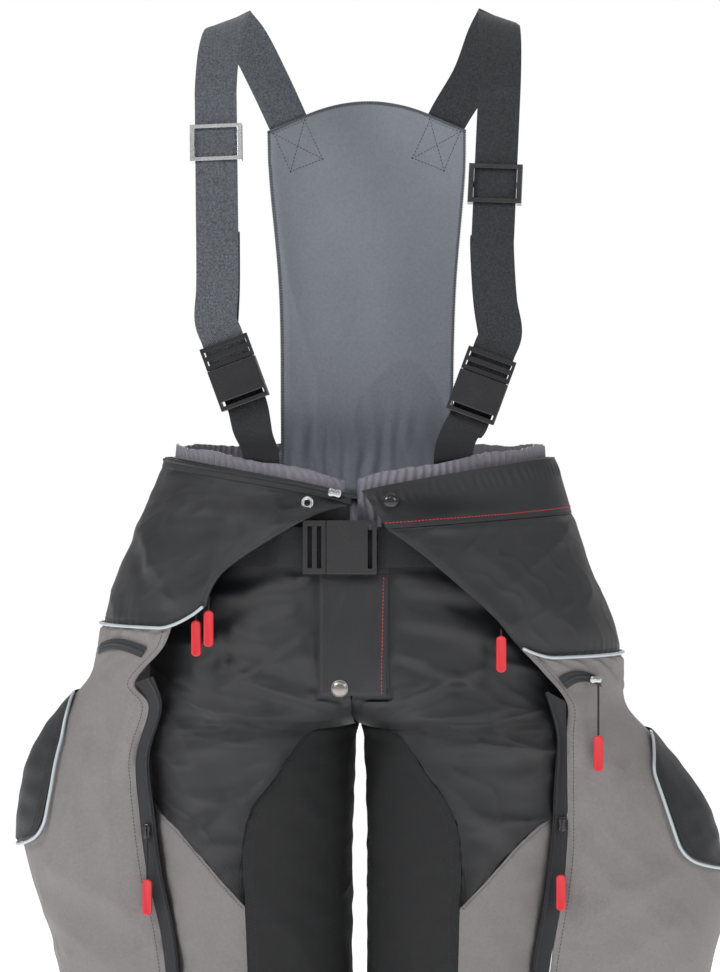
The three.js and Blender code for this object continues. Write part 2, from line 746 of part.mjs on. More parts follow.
const SLIDE_TOP = 350; // the front strap is straight between these heights
const SLIDE_FOOT = 210;
for (const [hand, side] of hands) {
  const shift = BRACE_SHIFT[hand];
  const out = (x) => side * (x + shift);
  const level = vec(1, 0, 0);
  const tilted = vec(Math.cos(BUCKLE_TILT * RAD), 0, -side * Math.sin(BUCKLE_TILT * RAD));
  const behind = (x, z) => bibDepth(z) - (x * x) / BIB_CURVE + WEB / 2 + OVER;
  const rear = [
    { at: vec(side * 57, behind(57, 295), 295), across: vec(0.9, -side * 0.17, -side * 0.4) },
    { at: vec(side * 75, behind(75, 337), 337), across: vec(0.9, -side * 0.17, -side * 0.4) },
    { at: vec(out(92), 68, 376), across: vec(0.92, -side * 0.1, -side * 0.38) },
    { at: vec(out(108), 34, 410), across: vec(0.93, 0, -side * 0.36) },
    { at: vec(out(SHOULDER_X - 2), 1, SHOULDER_TOP), across: vec(0.93, 0, -side * 0.36) },
  ];
  add(`${hand}_rear_strap`, webbing(rear, WEB_WIDTH, WEB, 12), "webbing");

  const topOfSlide = vec(out(BRACE_X), -86, SLIDE_TOP);
  const footOfSlide = vec(out(BRACE_X - 5), -116, SLIDE_FOOT);
  const between = (share) => topOfSlide.clone().lerp(footOfSlide, share);
  const buckleTop = SOCKET_HEIGHT + LADDER_HEIGHT;
  const behindPlate = (above) => onAxis(hand, side, buckleTop + above).add(vec(0, PLATE_OFF, 0));
  const front = [
    { at: vec(out(SHOULDER_X - 2), -1, SHOULDER_TOP), across: vec(0.93, 0, -side * 0.36) },
    { at: vec(out(SHOULDER_X + 1), -34, 414), across: vec(0.97, 0, -side * 0.2) },
    { at: vec(out(BRACE_X), -64, 386), across: level },
    { at: between(0), across: level },
    { at: between(0.06), across: level },
    { at: between(0.94), across: level },
    { at: between(1), across: level },
    { at: behindPlate(50).setX(out(BRACE_X - 5)), across: level },
    { at: behindPlate(20), across: tilted },
    { at: behindPlate(5), across: tilted },
    { at: behindPlate(3 - LADDER_HEIGHT), across: tilted },
  ];
  add(`${hand}_front_strap`, webbing(front, WEB_WIDTH, WEB, 26), "webbing");

  // The slider stands square to the strap, a little below the top of its straight run.
  const run = footOfSlide.clone().sub(topOfSlide).normalize();
  const place = between(hand === "left" ? 0.34 : 0.62);
  const ring = add(
    `${hand}_strap_slider`,
    slider(WEB_WIDTH + (hand === "left" ? 9 : 10), hand === "left" ? 34 : 36, hand === "left" ? 2.6 : 3.4),
    hand === "left" ? "metal" : "plastic",
  );
  const up = run.clone().negate();
  const normal = new THREE.Vector3().crossVectors(up, level).normalize();
  ring.quaternion.setFromRotationMatrix(new THREE.Matrix4().makeBasis(
    new THREE.Vector3().crossVectors(normal, up).normalize(), normal, up));
  ring.position.copy(place);

  const buckle = new THREE.Group();
  buckle.position.copy(SOCKET_FOOT[hand]);
  buckle.rotation.y = side * BUCKLE_TILT * RAD;
  root.add(buckle);
  const slot = WEB_WIDTH + 1.5;
  add(`${hand}_strap_socket`, socket(BUCKLE_WIDTH, BUCKLE_DEPTH, SOCKET_HEIGHT, slot), "plastic", buckle);
  add(
    `${hand}_strap_plug`,
    plug(BUCKLE_WIDTH, BUCKLE_DEPTH, SOCKET_HEIGHT, LADDER_HEIGHT, slot, ARM_LENGTH),
    "plastic",
    buckle,
  );

  // Lower tab: from the socket's bar over the waist's edge, sewn inside the lining.
  const curve = side * 0.33;
  const foot = SOCKET_FOOT[hand].clone();
  const hemX = side * (83 + shift);
  const tab = [
    { at: onAxis(hand, side, -0.6), across: tilted },
    { at: onAxis(hand, side, -6), across: tilted },
    { at: vec(lerp(foot.x, hemX, 0.55), -111, 42), across: vec(0.94, curve / 2, 0) },
    { at: vec(hemX, -92 + shift / 3, 24), across: vec(0.94, curve, 0) },
    { at: vec(hemX, -85.6 + shift / 1.6, 4), across: vec(0.94, curve, 0) },
    { at: vec(hemX, -85.6 + shift / 1.6, -16), across: vec(0.94, curve, 0) },
  ];
  add(`${hand}_strap_tab`, webbing(tab, WEB_WIDTH - 2, WEB, 10), "webbing");
}

// Belt: webbing round the hips to a large side-release buckle in front.
const BELT_Z = -60;
const BELT_Y = -(WAIST_HALF_DEPTH + 13.6);
const BELT_SOCKET = 45;
const BELT_DEPTH = 12;
const BELT_LADDER = 21;
const BELT_BUCKLE = 48;
const BELT_REACH = 18;
const SOCKET_END = 25; // the socket's outer end, to the wearer's left
const beltX = { left: SOCKET_END - BELT_SOCKET - BELT_LADDER, right: SOCKET_END };
for (const [hand, side] of hands) {
  const stations = [];
  const start = hand === "left" ? beltX.left + BELT_LADDER - 3 : beltX.right + 2 * SEAM;
  const straight = hand === "left" ? [0, 4, 34, 38] : [0, 8];
  for (const far of straight)
    stations.push({ at: vec(start + side * far, BELT_Y + PLATE_OFF, BELT_Z), across: vec(0, 0, 1) });
  for (const angle of [62, 50, 38, 26])
    stations.push({ at: skin(side, angle, BELT_Z, 3.5), across: vec(0, 0, 1) });
  add(`${hand}_belt`, webbing(stations, BELT_WIDTH, 2, 12), "webbing");
}
const beltBuckle = new THREE.Group();
beltBuckle.position.set(SOCKET_END, BELT_Y, BELT_Z);
beltBuckle.rotation.y = -Math.PI / 2;
root.add(beltBuckle);
const beltSlot = BELT_WIDTH + 1.5;
add("belt_socket", socket(BELT_BUCKLE, BELT_DEPTH, BELT_SOCKET, beltSlot), "plastic", beltBuckle);
add(
  "belt_plug",
  plug(BELT_BUCKLE, BELT_DEPTH, BELT_SOCKET, BELT_LADDER, beltSlot, BELT_REACH),
  "plastic",
  beltBuckle,
);

// Snap fasteners: domed caps and a ring socket, turned about their own axis.
function dome(radius, height) {
  const outline = [
    [0, 0],
    [radius, 0],
    [radius, height * 0.4],
    [radius * 0.8, height * 0.85],
    [radius * 0.4, height],
    [0, height],
  ];
  return new THREE.LatheGeometry(outline.map(([x, y]) => new THREE.Vector2(x, y)), 16);
}
function ringOf(radius, hole, height) {
  const outline = [
    [hole, 0],
    [radius, 0],
    [radius, height],
    [hole, height],
    [hole, 0],
  ];
  return new THREE.LatheGeometry(outline.map(([x, y]) => new THREE.Vector2(x, y)), 16);
}

// Put a turned piece on a surface point, its axis along the way out.
function seat(mesh, point, outward) {
  mesh.quaternion.setFromUnitVectors(vec(0, 1, 0), outward.clone().normalize());
  mesh.position.copy(point);
}
const SNAP_GAP = 1.15;
const flapSnapZ = FLAP_TOP - FLAP_LENGTH + 7;
const flapSnapX = flyX[0] + 18;
const flyCap = add("fly_snap_cap", dome(8, 4), "metal");
const flapSlope = (flyY(flapSnapZ + 4) - flyY(flapSnapZ - 4)) / 8;
const flapFace = flyY(flapSnapZ) - FACING - FIT - FLAP - SNAP_GAP / 2;
seat(flyCap, vec(flapSnapX, flapFace, flapSnapZ), vec(0, -1, flapSlope));
const bandSnap = (hand, angle, drop) => {
  const z = bandTop(angle) - drop;
  const outward = shellNormal(hand, angle, z);
  return [shell(hand, angle, z).addScaledVector(outward, SNAP_GAP), outward];
};
const waistCap = add("waist_snap_cap", dome(8, 5), "plastic");
seat(waistCap, ...bandSnap("right", 79, 17));
const snapRing = add("waist_snap_socket", ringOf(6, 2.6, 2), "metal");
seat(snapRing, ...bandSnap("left", 79, 18));

// Zip sliders, and moulded pulls that hang from them on short cords.
const CORD = 2;
function pull(cordLength) {
  const shape = new THREE.Shape();
  const r = PULL_WIDTH / 2;
  shape.moveTo(-r, -PULL_LENGTH + r);
  shape.absarc(0, -PULL_LENGTH + r, r, Math.PI, 2 * Math.PI, false);
  shape.lineTo(r * 0.75, -1);
  shape.lineTo(r * 0.4, 0);
  shape.lineTo(-r * 0.4, 0);
  shape.lineTo(-r * 0.75, -1);
  shape.closePath();
  const depth = 4;
  const body = new THREE.ExtrudeGeometry(shape, { depth, bevelEnabled: false, curveSegments: 5 });
  body.translate(0, -cordLength, -depth / 2).rotateX(Math.PI / 2);
  return plain(solid(body).add(box(CORD, CORD, cordLength + 2, 0, 0, -(cordLength + 2) / 2)));
}

const SIDE_SLIDER = { left: -322, right: -312 };
const SIDE_CORD = { left: 38, right: 40 };
for (const [hand, side] of hands) {
  const z = SIDE_SLIDER[hand];
  const angle = shellFront[hand](z) + (ZIP_TAPE / 2) / 105 / RAD;
  const face = shell(hand, angle, z, 1.9);
  const car = add(`${hand}_side_slider`, plain(box(7, 4.4, 14)), "plastic", outerLegs[hand]);
  const normal = shell(hand, angle, z, 10).sub(shell(hand, angle, z)).normalize();
  car.position.copy(face);
  car.rotation.z = Math.atan2(normal.x, -normal.y);
  const hang = add(`${hand}_side_pull`, pull(SIDE_CORD[hand]), "red", outerLegs[hand]);
  hang.position.set(face.x - side, face.y - 4, z - 5);
}

// Hip pulls hang from the top of the side zips, just inside the yokes' free edges.
const hipPulls = [
  ["left_hip_pull_outer", "left", 52.4, -112, 14, 1.8],
  ["left_hip_pull_inner", "left", 55.6, -103, 14, 1.8],
  ["right_hip_pull", "right", 54.5, -133, 6, 1.8],
];
for (const [name, hand, angle, z, length, clear] of hipPulls) {
  const hang = add(name, pull(length), "red");
  hang.position.copy(shell(hand, angle, z, -SHELL - CORD / 2 - clear));
}

// Pocket zips on the outer legs, the right one with its slider and pull.
const pocketSpan = { left: [16, 42, -157], right: [30, 48, -184] };
for (const [hand] of hands) {
  const [from, to, z] = pocketSpan[hand];
  const stations = [];
  for (let k = 0; k <= 5; k += 1) {
    const angle = lerp(from, to, k / 5);
    const drop = z + 6 * Math.sin((Math.PI * k) / 5);
    stations.push({ at: shell(hand, angle, drop, 2.4), across: vec(0, 0, 1) });
  }
  add(`${hand}_pocket_zip`, webbing(stations, 10, 2, 10), "patch", outerLegs[hand]);
}
const POCKET_SLIDE = { angle: 33, z: -180 };
const pocketNormal = shellNormal("right", POCKET_SLIDE.angle, POCKET_SLIDE.z);
const pocketFace = shell("right", POCKET_SLIDE.angle, POCKET_SLIDE.z).addScaledVector(pocketNormal, 6.5);
const pocketTurn = Math.atan2(pocketNormal.x, -pocketNormal.y);
const wireLoop = box(3, 7.65, 2, 2, -4.8, -3.7).rotate([0, 0, -pocketTurn / RAD]);
const pocketCarBody = plain(box(13, 4.4, 7).add(wireLoop));
const pocketCar = add("right_pocket_slider", pocketCarBody, "metal", outerLegs.right);
pocketCar.position.copy(pocketFace);
pocketCar.rotation.z = pocketTurn;
const pocketPull = add("right_pocket_pull", pull(46), "red", outerLegs.right);
pocketPull.position.copy(pocketFace).add(vec(2, -10, -4.5));

// Waist zip slider, at the front end of its tape.
const ZIP_CAR = { angle: 86, z: bandTop(86) - ZIP_TAPE / 2 };
const zipNormal = shellNormal("left", ZIP_CAR.angle, ZIP_CAR.z);
const zipCar = add("waist_zip_slider", plain(box(12, 4, 8)), "metal");
seat(zipCar, shell("left", ZIP_CAR.angle, ZIP_CAR.z).addScaledVector(zipNormal, 4), zipNormal);

export default root;
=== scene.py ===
"""Padded bib over-trousers with their outer halves unzipped: cloth, webbing, zips and buckles."""

import math

import bpy
import numpy as np
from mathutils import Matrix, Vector
from mathutils.bvhtree import BVHTree


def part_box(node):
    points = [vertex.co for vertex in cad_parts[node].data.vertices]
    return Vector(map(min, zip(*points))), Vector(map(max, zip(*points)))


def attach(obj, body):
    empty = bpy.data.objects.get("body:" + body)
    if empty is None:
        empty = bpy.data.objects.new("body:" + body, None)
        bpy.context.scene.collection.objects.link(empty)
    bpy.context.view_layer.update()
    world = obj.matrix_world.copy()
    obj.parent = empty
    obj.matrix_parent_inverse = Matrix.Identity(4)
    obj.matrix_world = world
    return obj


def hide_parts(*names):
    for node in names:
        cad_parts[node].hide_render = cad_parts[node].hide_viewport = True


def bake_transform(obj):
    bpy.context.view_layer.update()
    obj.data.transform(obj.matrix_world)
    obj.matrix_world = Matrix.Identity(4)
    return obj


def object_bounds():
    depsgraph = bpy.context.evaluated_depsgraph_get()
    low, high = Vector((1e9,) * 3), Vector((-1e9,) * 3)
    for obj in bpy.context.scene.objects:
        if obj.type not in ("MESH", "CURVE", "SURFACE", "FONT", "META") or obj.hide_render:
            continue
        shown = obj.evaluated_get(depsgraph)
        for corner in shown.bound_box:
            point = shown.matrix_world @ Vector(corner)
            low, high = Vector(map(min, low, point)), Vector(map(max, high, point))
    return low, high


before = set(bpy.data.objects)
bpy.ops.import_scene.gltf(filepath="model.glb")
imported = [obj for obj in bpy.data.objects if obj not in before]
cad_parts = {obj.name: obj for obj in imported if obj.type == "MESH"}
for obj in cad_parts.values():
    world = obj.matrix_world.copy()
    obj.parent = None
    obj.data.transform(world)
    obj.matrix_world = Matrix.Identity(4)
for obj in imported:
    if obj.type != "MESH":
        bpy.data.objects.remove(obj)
cad_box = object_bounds()

# Camera and studio. A long lens, a little to the wearer's left of square on, takes in the
# garment from its braces to the knee. Pale floor in a white surround, soft lights all round.
VIEW_TURN = math.radians(4.4)
VIEW_AWAY = 3.2
VIEW_RISE = 0.012
VIEW_ANGLE = math.radians(16)
aim = Vector((0, 0, -0.007))
camera = bpy.data.objects.new("camera", bpy.data.cameras.new("camera"))
bpy.context.scene.collection.objects.link(camera)
view_from = Vector((math.sin(VIEW_TURN), -math.cos(VIEW_TURN), VIEW_RISE))
camera.location = aim + view_from * VIEW_AWAY
camera.rotation_euler = (aim - camera.location).to_track_quat("-Z", "Y").to_euler()
camera.data.sensor_fit = "VERTICAL"
camera.data.angle_y = VIEW_ANGLE
bpy.context.scene.camera = camera

floor_mesh = bpy.data.meshes.new("floor")
FLOOR_Z = cad_box[0][2] - 0.002
FLOOR_REACH = 26
FLOOR_SIDES = 64
FLOOR_GLOW = 0.72
SURROUND_LIGHT = 0.34
turns = np.linspace(0, 2 * math.pi, FLOOR_SIDES, endpoint=False)
rim = [(FLOOR_REACH * math.cos(t), FLOOR_REACH * math.sin(t), FLOOR_Z) for t in turns]
floor_mesh.from_pydata(rim, [], [tuple(range(FLOOR_SIDES))])
floor_plane = bpy.data.objects.new("floor", floor_mesh)
bpy.context.scene.collection.objects.link(floor_plane)
paper = bpy.data.materials.new("pale_paper")
paper.use_nodes = True
paper_finish = paper.node_tree.nodes["Principled BSDF"].inputs
paper_finish["Base Color"].default_value = (0.93, 0.93, 0.93, 1)
paper_finish["Roughness"].default_value = 0.9
paper_finish["Emission Color"].default_value = (1, 1, 1, 1)
paper_finish["Emission Strength"].default_value = FLOOR_GLOW
floor_mesh.materials.append(paper)

for where, size, watts in (
    ((-2.0, -1.8, 1.9), 0.9, 46),
    ((2.3, -1.7, 1.3), 1.0, 17),
    ((0.1, -2.6, 2.4), 1.2, 7),
    ((0.0, 2.2, 2.0), 2.6, 60),
):
    lamp = bpy.data.objects.new("soft_light", bpy.data.lights.new("soft_light", "AREA"))
    lamp.data.size = size
    lamp.data.energy = watts
    lamp.location = where
    towards = Vector((0, 0, -0.1)) - lamp.location
    lamp.rotation_euler = towards.to_track_quat("-Z", "Y").to_euler()
    bpy.context.scene.collection.objects.link(lamp)
world = bpy.data.worlds.new("studio")
bpy.context.scene.world = world
world.use_nodes = True
surround = world.node_tree
dim = surround.nodes["Background"]
dim.inputs[0].default_value = (1, 1, 1, 1)
dim.inputs[1].default_value = SURROUND_LIGHT
bright = surround.nodes.new("ShaderNodeBackground")
bright.inputs[0].default_value = (1, 1, 1, 1)
seen = surround.nodes.new("ShaderNodeLightPath")
both = surround.nodes.new("ShaderNodeMixShader")
surround.links.new(seen.outputs["Is Camera Ray"], both.inputs[0])
surround.links.new(dim.outputs[0], both.inputs[1])
surround.links.new(bright.outputs[0], both.inputs[2])
surround.links.new(both.outputs[0], surround.nodes["World Output"].inputs[0])
bpy.context.scene.view_settings.view_transform = "Standard"


# Woven and knitted cloths. Every fabric here is a plain weave: its threads follow the piece's
# own lengthwise and crosswise measure, its colour drifts, and nylon has a satin sheen.
class Wire:
    """One output in a material; arithmetic on it adds Math nodes."""

    def __init__(self, finish, socket):
        self.finish, self.socket = finish, socket

    def to(self, operation, *others):
        terms = dict(enumerate((self, *others)))
        return self.finish.node("ShaderNodeMath", {"operation": operation}, terms)

    def __add__(self, other):
        return self.to("ADD", other)

    __radd__ = __add__

    def __mul__(self, other):
        return self.to("MULTIPLY", other)

    __rmul__ = __mul__

    def __sub__(self, other):
        return self.to("SUBTRACT", other)

    def __rsub__(self, other):
        return (self * -1) + other


class Finish:
    """A material whose nodes are made one expression at a time."""

    def __init__(self, name, **constants):
        self.material = bpy.data.materials.new(name)
        self.material.use_nodes = True
        self.tree = self.material.node_tree
        self.surface = self.tree.nodes["Principled BSDF"]
        for socket, value in constants.items():
            self.surface.inputs[socket.replace("_", " ").title()].default_value = value

    def node(self, kind, settings=None, sockets=None, output=0):
        made = self.tree.nodes.new(kind)
        for key, value in (settings or {}).items():
            if key == "stops":
                for stop, (place, colour) in zip(made.color_ramp.elements, value):
                    stop.position, stop.color = place, (*colour, 1)
            else:
                setattr(made, key, value)
        for key, value in (sockets or {}).items():
            if isinstance(value, Wire):
                self.tree.links.new(value.socket, made.inputs[key])
            else:
                made.inputs[key].default_value = value
        return Wire(self, made.outputs[output])

    def noise(self, scale, detail=3, where=None):
        where = where or self.node("ShaderNodeTexCoord", output="Object")
        sockets = {"Vector": where, "Scale": scale, "Detail": detail}
        return self.node("ShaderNodeTexNoise", None, sockets)

    def mix(self, amount, dark, light):
        sockets = {0: amount, 6: (*dark, 1), 7: (*light, 1)}
        return self.node("ShaderNodeMix", {"data_type": "RGBA", "clamp_factor": True}, sockets, 2)

    def feed(self, socket, wire):
        self.tree.links.new(wire.socket, self.surface.inputs[socket])

    def bump(self, height, depth, strength=1.0):
        sockets = {"Height": height, "Distance": depth, "Strength": strength}
        self.feed("Normal", self.node("ShaderNodeBump", None, sockets))


def woven(name, colour, thread, depth, rough, sheen=0.0, speck=0.0, drift=0.35, coat=0.0,
          fleck_scale=1400):
    """Plain weave of threads this far apart, in metres, measured along the piece's own UV map."""
    finish = Finish(name, sheen_weight=sheen, sheen_roughness=0.4, coat_weight=coat,
                    coat_roughness=0.45)
    uv = finish.node("ShaderNodeUVMap", {"uv_map": "Cloth"})
    split = finish.node("ShaderNodeSeparateXYZ", None, {"Vector": uv})
    across = Wire(finish, split.socket.node.outputs["X"])
    down = Wire(finish, split.socket.node.outputs["Y"])
    turns = 2 * math.pi / thread
    weave = (across * turns).to("SINE") * (down * turns).to("SINE")
    blotch = finish.noise(14, 4)
    fleck = finish.noise(fleck_scale, 2)
    grain = finish.noise(420, 2)
    tone = (blotch - 0.5) * drift + (weave * 0.1) + (grain - 0.5) * 0.5
    tone = tone + (fleck - 0.5) * speck + 0.5
    dark = [0.62 * c for c in colour]
    light = [min(1, 1.42 * c) for c in colour]
    finish.feed("Base Color", finish.mix(tone, dark, light))
    finish.feed("Roughness", (grain - 0.5) * 0.18 + (blotch - 0.5) * 0.1 + rough)
    finish.bump(weave * 0.5 + grain * 0.8 + fleck * 0.4, depth)
    return finish.material


NYLON = woven("padded_nylon", (0.0075, 0.0082, 0.0105), 0.0011, 0.00014, 0.38, sheen=0.03,
              coat=0.14)
REINFORCED = woven("coarse_nylon", (0.0075, 0.0080, 0.0092), 0.0016, 0.0004, 0.74, sheen=0.02)
GREY = woven("grey_outer_cloth", (0.222, 0.204, 0.203), 0.0011, 0.0002, 0.62, sheen=0.05)
PATCH = woven("black_patch_cloth", (0.008, 0.009, 0.012), 0.0011, 0.0002, 0.42, sheen=0.03)
BIB = woven("bib_cloth", (0.190, 0.208, 0.240), 0.0012, 0.0002, 0.52, sheen=0.1)
LINING = woven("satin_lining", (0.200, 0.190, 0.225), 0.0010, 0.0002, 0.34, sheen=0.1)


def smooth(*keys):
    """Smooth curve through (place, value) keys."""
    keys = np.array(sorted(keys), float)
    x, y = keys[:, 0], keys[:, 1]
    slope = np.empty(len(x))
    slope[1:-1] = (y[2:] - y[:-2]) / (x[2:] - x[:-2])
    slope[0], slope[-1] = (y[1] - y[0]) / (x[1] - x[0]), (y[-1] - y[-2]) / (x[-1] - x[-2])

    def at(place):
        place = np.clip(np.asarray(place, float), x[0], x[-1])
        i = np.clip(np.searchsorted(x, place) - 1, 0, len(x) - 2)
        span = x[i + 1] - x[i]
        t = (place - x[i]) / span
        return (
            y[i] * (1 + 2 * t) * (1 - t) ** 2
            + slope[i] * span * t * (1 - t) ** 2
            + y[i + 1] * t * t * (3 - 2 * t)
            + slope[i + 1] * span * t * t * (t - 1)
        )

    return at


def mixed(a, b, t):
    return a + (b - a) * t


def point(x, y, z):
    return np.stack(np.broadcast_arrays(x, y, z), axis=-1)


def measures(p):
    """Distances in mm along the rows and down the columns of a grid of points."""
    across = np.linalg.norm(np.diff(p, axis=1), axis=2)
    down = np.linalg.norm(np.diff(p, axis=0), axis=2)
    across = np.concatenate([np.zeros((len(p), 1)), np.cumsum(across, axis=1)], axis=1)
    down = np.concatenate([np.zeros((1, p.shape[1])), np.cumsum(down, axis=0)], axis=0)
    return across, down


# Heights, in metres, of the bend under each outer half's yoke; only which bodies are listed is
# read, and pieces on them are baked in place.
LEG_BEND = {"left_outer": (-0.1345, -0.25), "right_outer": (-0.1605, -0.27)}


def show(name, mesh, material, slot, body, *nodes):
    """Makes the mesh a piece on this body, in place of its plain solids."""
    piece = bpy.data.objects.new(name, mesh)
    bpy.context.scene.collection.objects.link(piece)
    mesh.materials.clear()
    mesh.materials.append(material)
    if nodes:
        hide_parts(*nodes)
    if body in LEG_BEND:
        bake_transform(piece)
    else:
        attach(piece, body)
    return piece


def cloth_mesh(name, at, columns, rows, thick, relief=None, pinch=1.3, rim=4.5):
    """Closed sheet. at(u, v, out) is its surface in mm; relief(p, across, down, edge) its folds."""
    u, v = np.meshgrid(np.linspace(0, 1, columns + 1), np.linspace(0, 1, rows + 1))
    flat = at(u, v, 0.0)
    across, down = measures(flat)
    edge = np.minimum(
        np.minimum(across, across[:, -1:] - across), np.minimum(down, down[-1:] - down)
    )
    lift = -pinch * np.exp(-((edge / rim) ** 2))
    if relief is not None:
        lift = lift + relief(flat, across, down, edge)
    outer = at(u, v, lift)
    inner = at(u, v, lift - thick * (1 - 0.45 * np.exp(-((edge / 2) ** 2))))
    n, wide = outer.shape[0] * outer.shape[1], columns + 1
    points = np.concatenate([outer.reshape(-1, 3), inner.reshape(-1, 3)]) * 0.001
    quads = []
    j, i = np.meshgrid(np.arange(rows), np.arange(columns), indexing="ij")
    a = (j * wide + i).ravel()
    quads.append(np.stack([a, a + 1, a + wide + 1, a + wide], 1))
    quads.append(np.stack([a, a + wide, a + wide + 1, a + 1], 1) + n)
    i = np.arange(columns)
    low = rows * wide + i
    quads.append(np.stack([i + 1, i, n + i, n + i + 1], 1))
    quads.append(np.stack([low, low + 1, n + low + 1, n + low], 1))
    j = np.arange(rows) * wide
    quads.append(np.stack([j, j + wide, n + j + wide, n + j], 1))
    j = j + columns
    quads.append(np.stack([j + wide, j, n + j, n + j + wide], 1))
    faces = np.concatenate(quads)
    a, b, c = points[faces[:, 0]], points[faces[:, 1]], points[faces[:, 2]]
    d = points[faces[:, 3]]
    size = np.einsum("ij,ij->i", a, np.cross(b, c)) + np.einsum("ij,ij->i", a, np.cross(c, d))
    if size.sum() < 0:
        faces = faces[:, ::-1]
    mesh = bpy.data.meshes.new(name)
    mesh.from_pydata(points.tolist(), [], faces.tolist())
    place = np.stack([across - across[:, columns // 2, None], down], -1).reshape(-1, 2) * 0.001
    place = np.concatenate([place, place])
    uv = mesh.uv_layers.new(name="Cloth")
    corner = np.empty(len(mesh.loops), np.int32)
    mesh.loops.foreach_get("vertex_index", corner)
    uv.data.foreach_set("uv", place[corner].astype(np.float32).ravel())
    mesh.shade_smooth()
    mesh.set_sharp_from_angle(angle=math.radians(62))
    return mesh


def waves(p, length, seed, stretch=(1, 1, 1)):
    """Soft uneven ripples about this long, the same wherever two pieces meet; from -1 to 1."""
    rng = np.random.default_rng(seed)
    total = 0
    for _ in range(7):
        way = rng.normal(size=3)
        way /= np.linalg.norm(way)
        turns = 2 * math.pi / (length * rng.uniform(0.7, 1.5))
        total = total + np.sin((p * np.array(stretch)) @ way * turns + rng.uniform(0, 6.3))
    return total / 4


def creases(p, length, seed, stretch=(1, 1, 1)):
    """Crisp wrinkles about this far apart, with soft hollows between them; from 0 to 1."""
    return (1 - np.minimum(1, np.abs(waves(p, length, seed, stretch)) * 1.5)) ** 2.2


def fold(p, start, end, width, height, front=True):
    """A crease between two (x, z) places seen from in front, sharp on one side."""
    a, b = np.array(start, float), np.array(end, float)
    run = b - a
    rel = p[..., [0, 2]] - a
    t = rel @ run / (run @ run)
    off = (rel[..., 0] * run[1] - rel[..., 1] * run[0]) / np.linalg.norm(run)
    ends = np.clip(np.minimum(t, 1 - t) * 5 + 0.35, 0, 1)
    ends = ends * ends * (3 - 2 * ends)
    ridge = np.exp(-np.abs(off / width) ** 1.4)
    ridge = ridge - 0.55 * np.exp(-(((off - 1.7 * width) / width) ** 2))
    side = p[..., 1] < 0 if front else p[..., 1] > 0
    return height * ends * ridge * side


def folded(lift, p, table, side=1):
    """Adds each (start, end, width, height) crease of a table, mirrored where side is -1."""
    for start, end, width, height in table:
        lift = lift + fold(p, (side * start[0], start[1]), (side * end[0], end[1]), width, height)
    return lift


# Inner trousers. Padded black nylon front and seat panels, matt coarse reinforcement inside
# the legs and warm grey panels round the lower legs, joined by double-stitched curved seams.
CROTCH, HEM, INSEAM = -225.0, -1005.0, 780.0
body_outer = smooth(
    (40, 175), (0, 177), (-146.25, 193), (-225, 197), (-334.2, 189), (-459, 171), (-576, 162),
    (-771, 162), (HEM, 160),
)
leg_inner = smooth((CROTCH, 0), (-240, 4), (-459, 7), (-693, 15), (HEM, 20))
body_depth = smooth(
    (40, 112), (0, 112), (-67.5, 117), (-157.5, 121), (-225, 112), (-334.2, 100), (-459, 86),
    (-576, 80), (HEM, 76),
)
body_middle = smooth((0, 0), (-157.5, 4), (-225, 4), (-459, -4), (-576, -6), (HEM, 8))


def leg_middle(z):
    share = np.maximum(0, z / CROTCH) ** 4
    return np.where(z < CROTCH, (body_outer(z) + leg_inner(z)) / 2, body_outer(z) / 2 * share)


def centre_angle(z):
    middle = leg_middle(z)
    half = body_outer(z) - middle
    return np.where(z <= CROTCH, 180, 180 - np.degrees(np.arccos(np.minimum(1, middle / half))))


def skin(side, angle, z, out=0.0):
    """Trousers' surface: angle 0 is the outside, 90 the front, 180 the inside, -90 the back."""
    middle = leg_middle(z)
    half = body_outer(z) - middle + out
    turn = np.radians(angle)
    return point(
        side * (middle + half * np.cos(turn)),
        body_middle(z) - (body_depth(z) + out) * np.sin(turn),
        z,
    )


def band_top(angle):
    front = -13 + 33 * np.abs(np.cos(np.radians(angle))) ** 0.8
    return np.where(angle < 0, 20, front)


def band_bottom(angle):
    return np.where(angle < 0, -32, -46 + 14 * np.abs(np.cos(np.radians(angle))))


def below(share):
    return CROTCH - share * INSEAM


seam_angle = smooth(
    (below(0), 133), (below(0.006), 125), (below(0.04), 114), (below(0.087), 97),
    (below(0.12), 91), (below(0.16), 88.5), (below(0.205), 88), (below(0.3), 86), (HEM, 86),
)
knee_share = smooth((0, 0.083), (20, 0.096), (50, 0.124), (80, 0.187), (88, 0.205))
SLACK = 0.1
FRONT_ROWS = 16
centre_z = mixed(-46, CROTCH, np.array([0, 0.16, 0.33, 0.5, 0.66, 0.78, 0.88, 0.94, 0.98, 1]))
inner_z = np.concatenate(
    [centre_z, [below(s) for s in (0, 0.006, 0.04, 0.087, 0.12, 0.16, 0.205)]]
)
side_z = np.concatenate(
    [mixed(-46, CROTCH + 8, (centre_z + 46) / (CROTCH + 46)),
     [below(s) for s in (0.017, 0.035, 0.06, 0.083, 0.096, 0.124, 0.187)]]
)
side_turn = np.array([0.0] * 14 + [20, 50, 80])


def panel_at(side, face):
    def at(u, v, out):
        row = v * FRONT_ROWS
        rows = np.arange(FRONT_ROWS + 1)
        inside_z = np.interp(row, rows, inner_z)
        turn = np.where(row < 9, centre_angle(inside_z), mixed(180, 133, np.clip(row - 9, 0, 1)))
        turn = np.where(row < 10, turn, seam_angle(inside_z))
        outside_turn = np.interp(row, rows, side_turn)
        outside_z = np.interp(row, rows, side_z)
        outside_z = np.where(row >= 13, below(knee_share(outside_turn)), outside_z)
        angle = face * mixed(outside_turn + SLACK, turn - SLACK, u)
        z = mixed(outside_z, inside_z, u)
        share = np.maximum(0, 1 - (-46 - z) / 100)
        z = z + share * (band_bottom(angle) + 46) + 0.2 * (2 * v - 1)
        p = skin(side, angle, z, out)
        p[..., 0] = side * np.maximum(side * p[..., 0], 0.2)
        return p

    return at


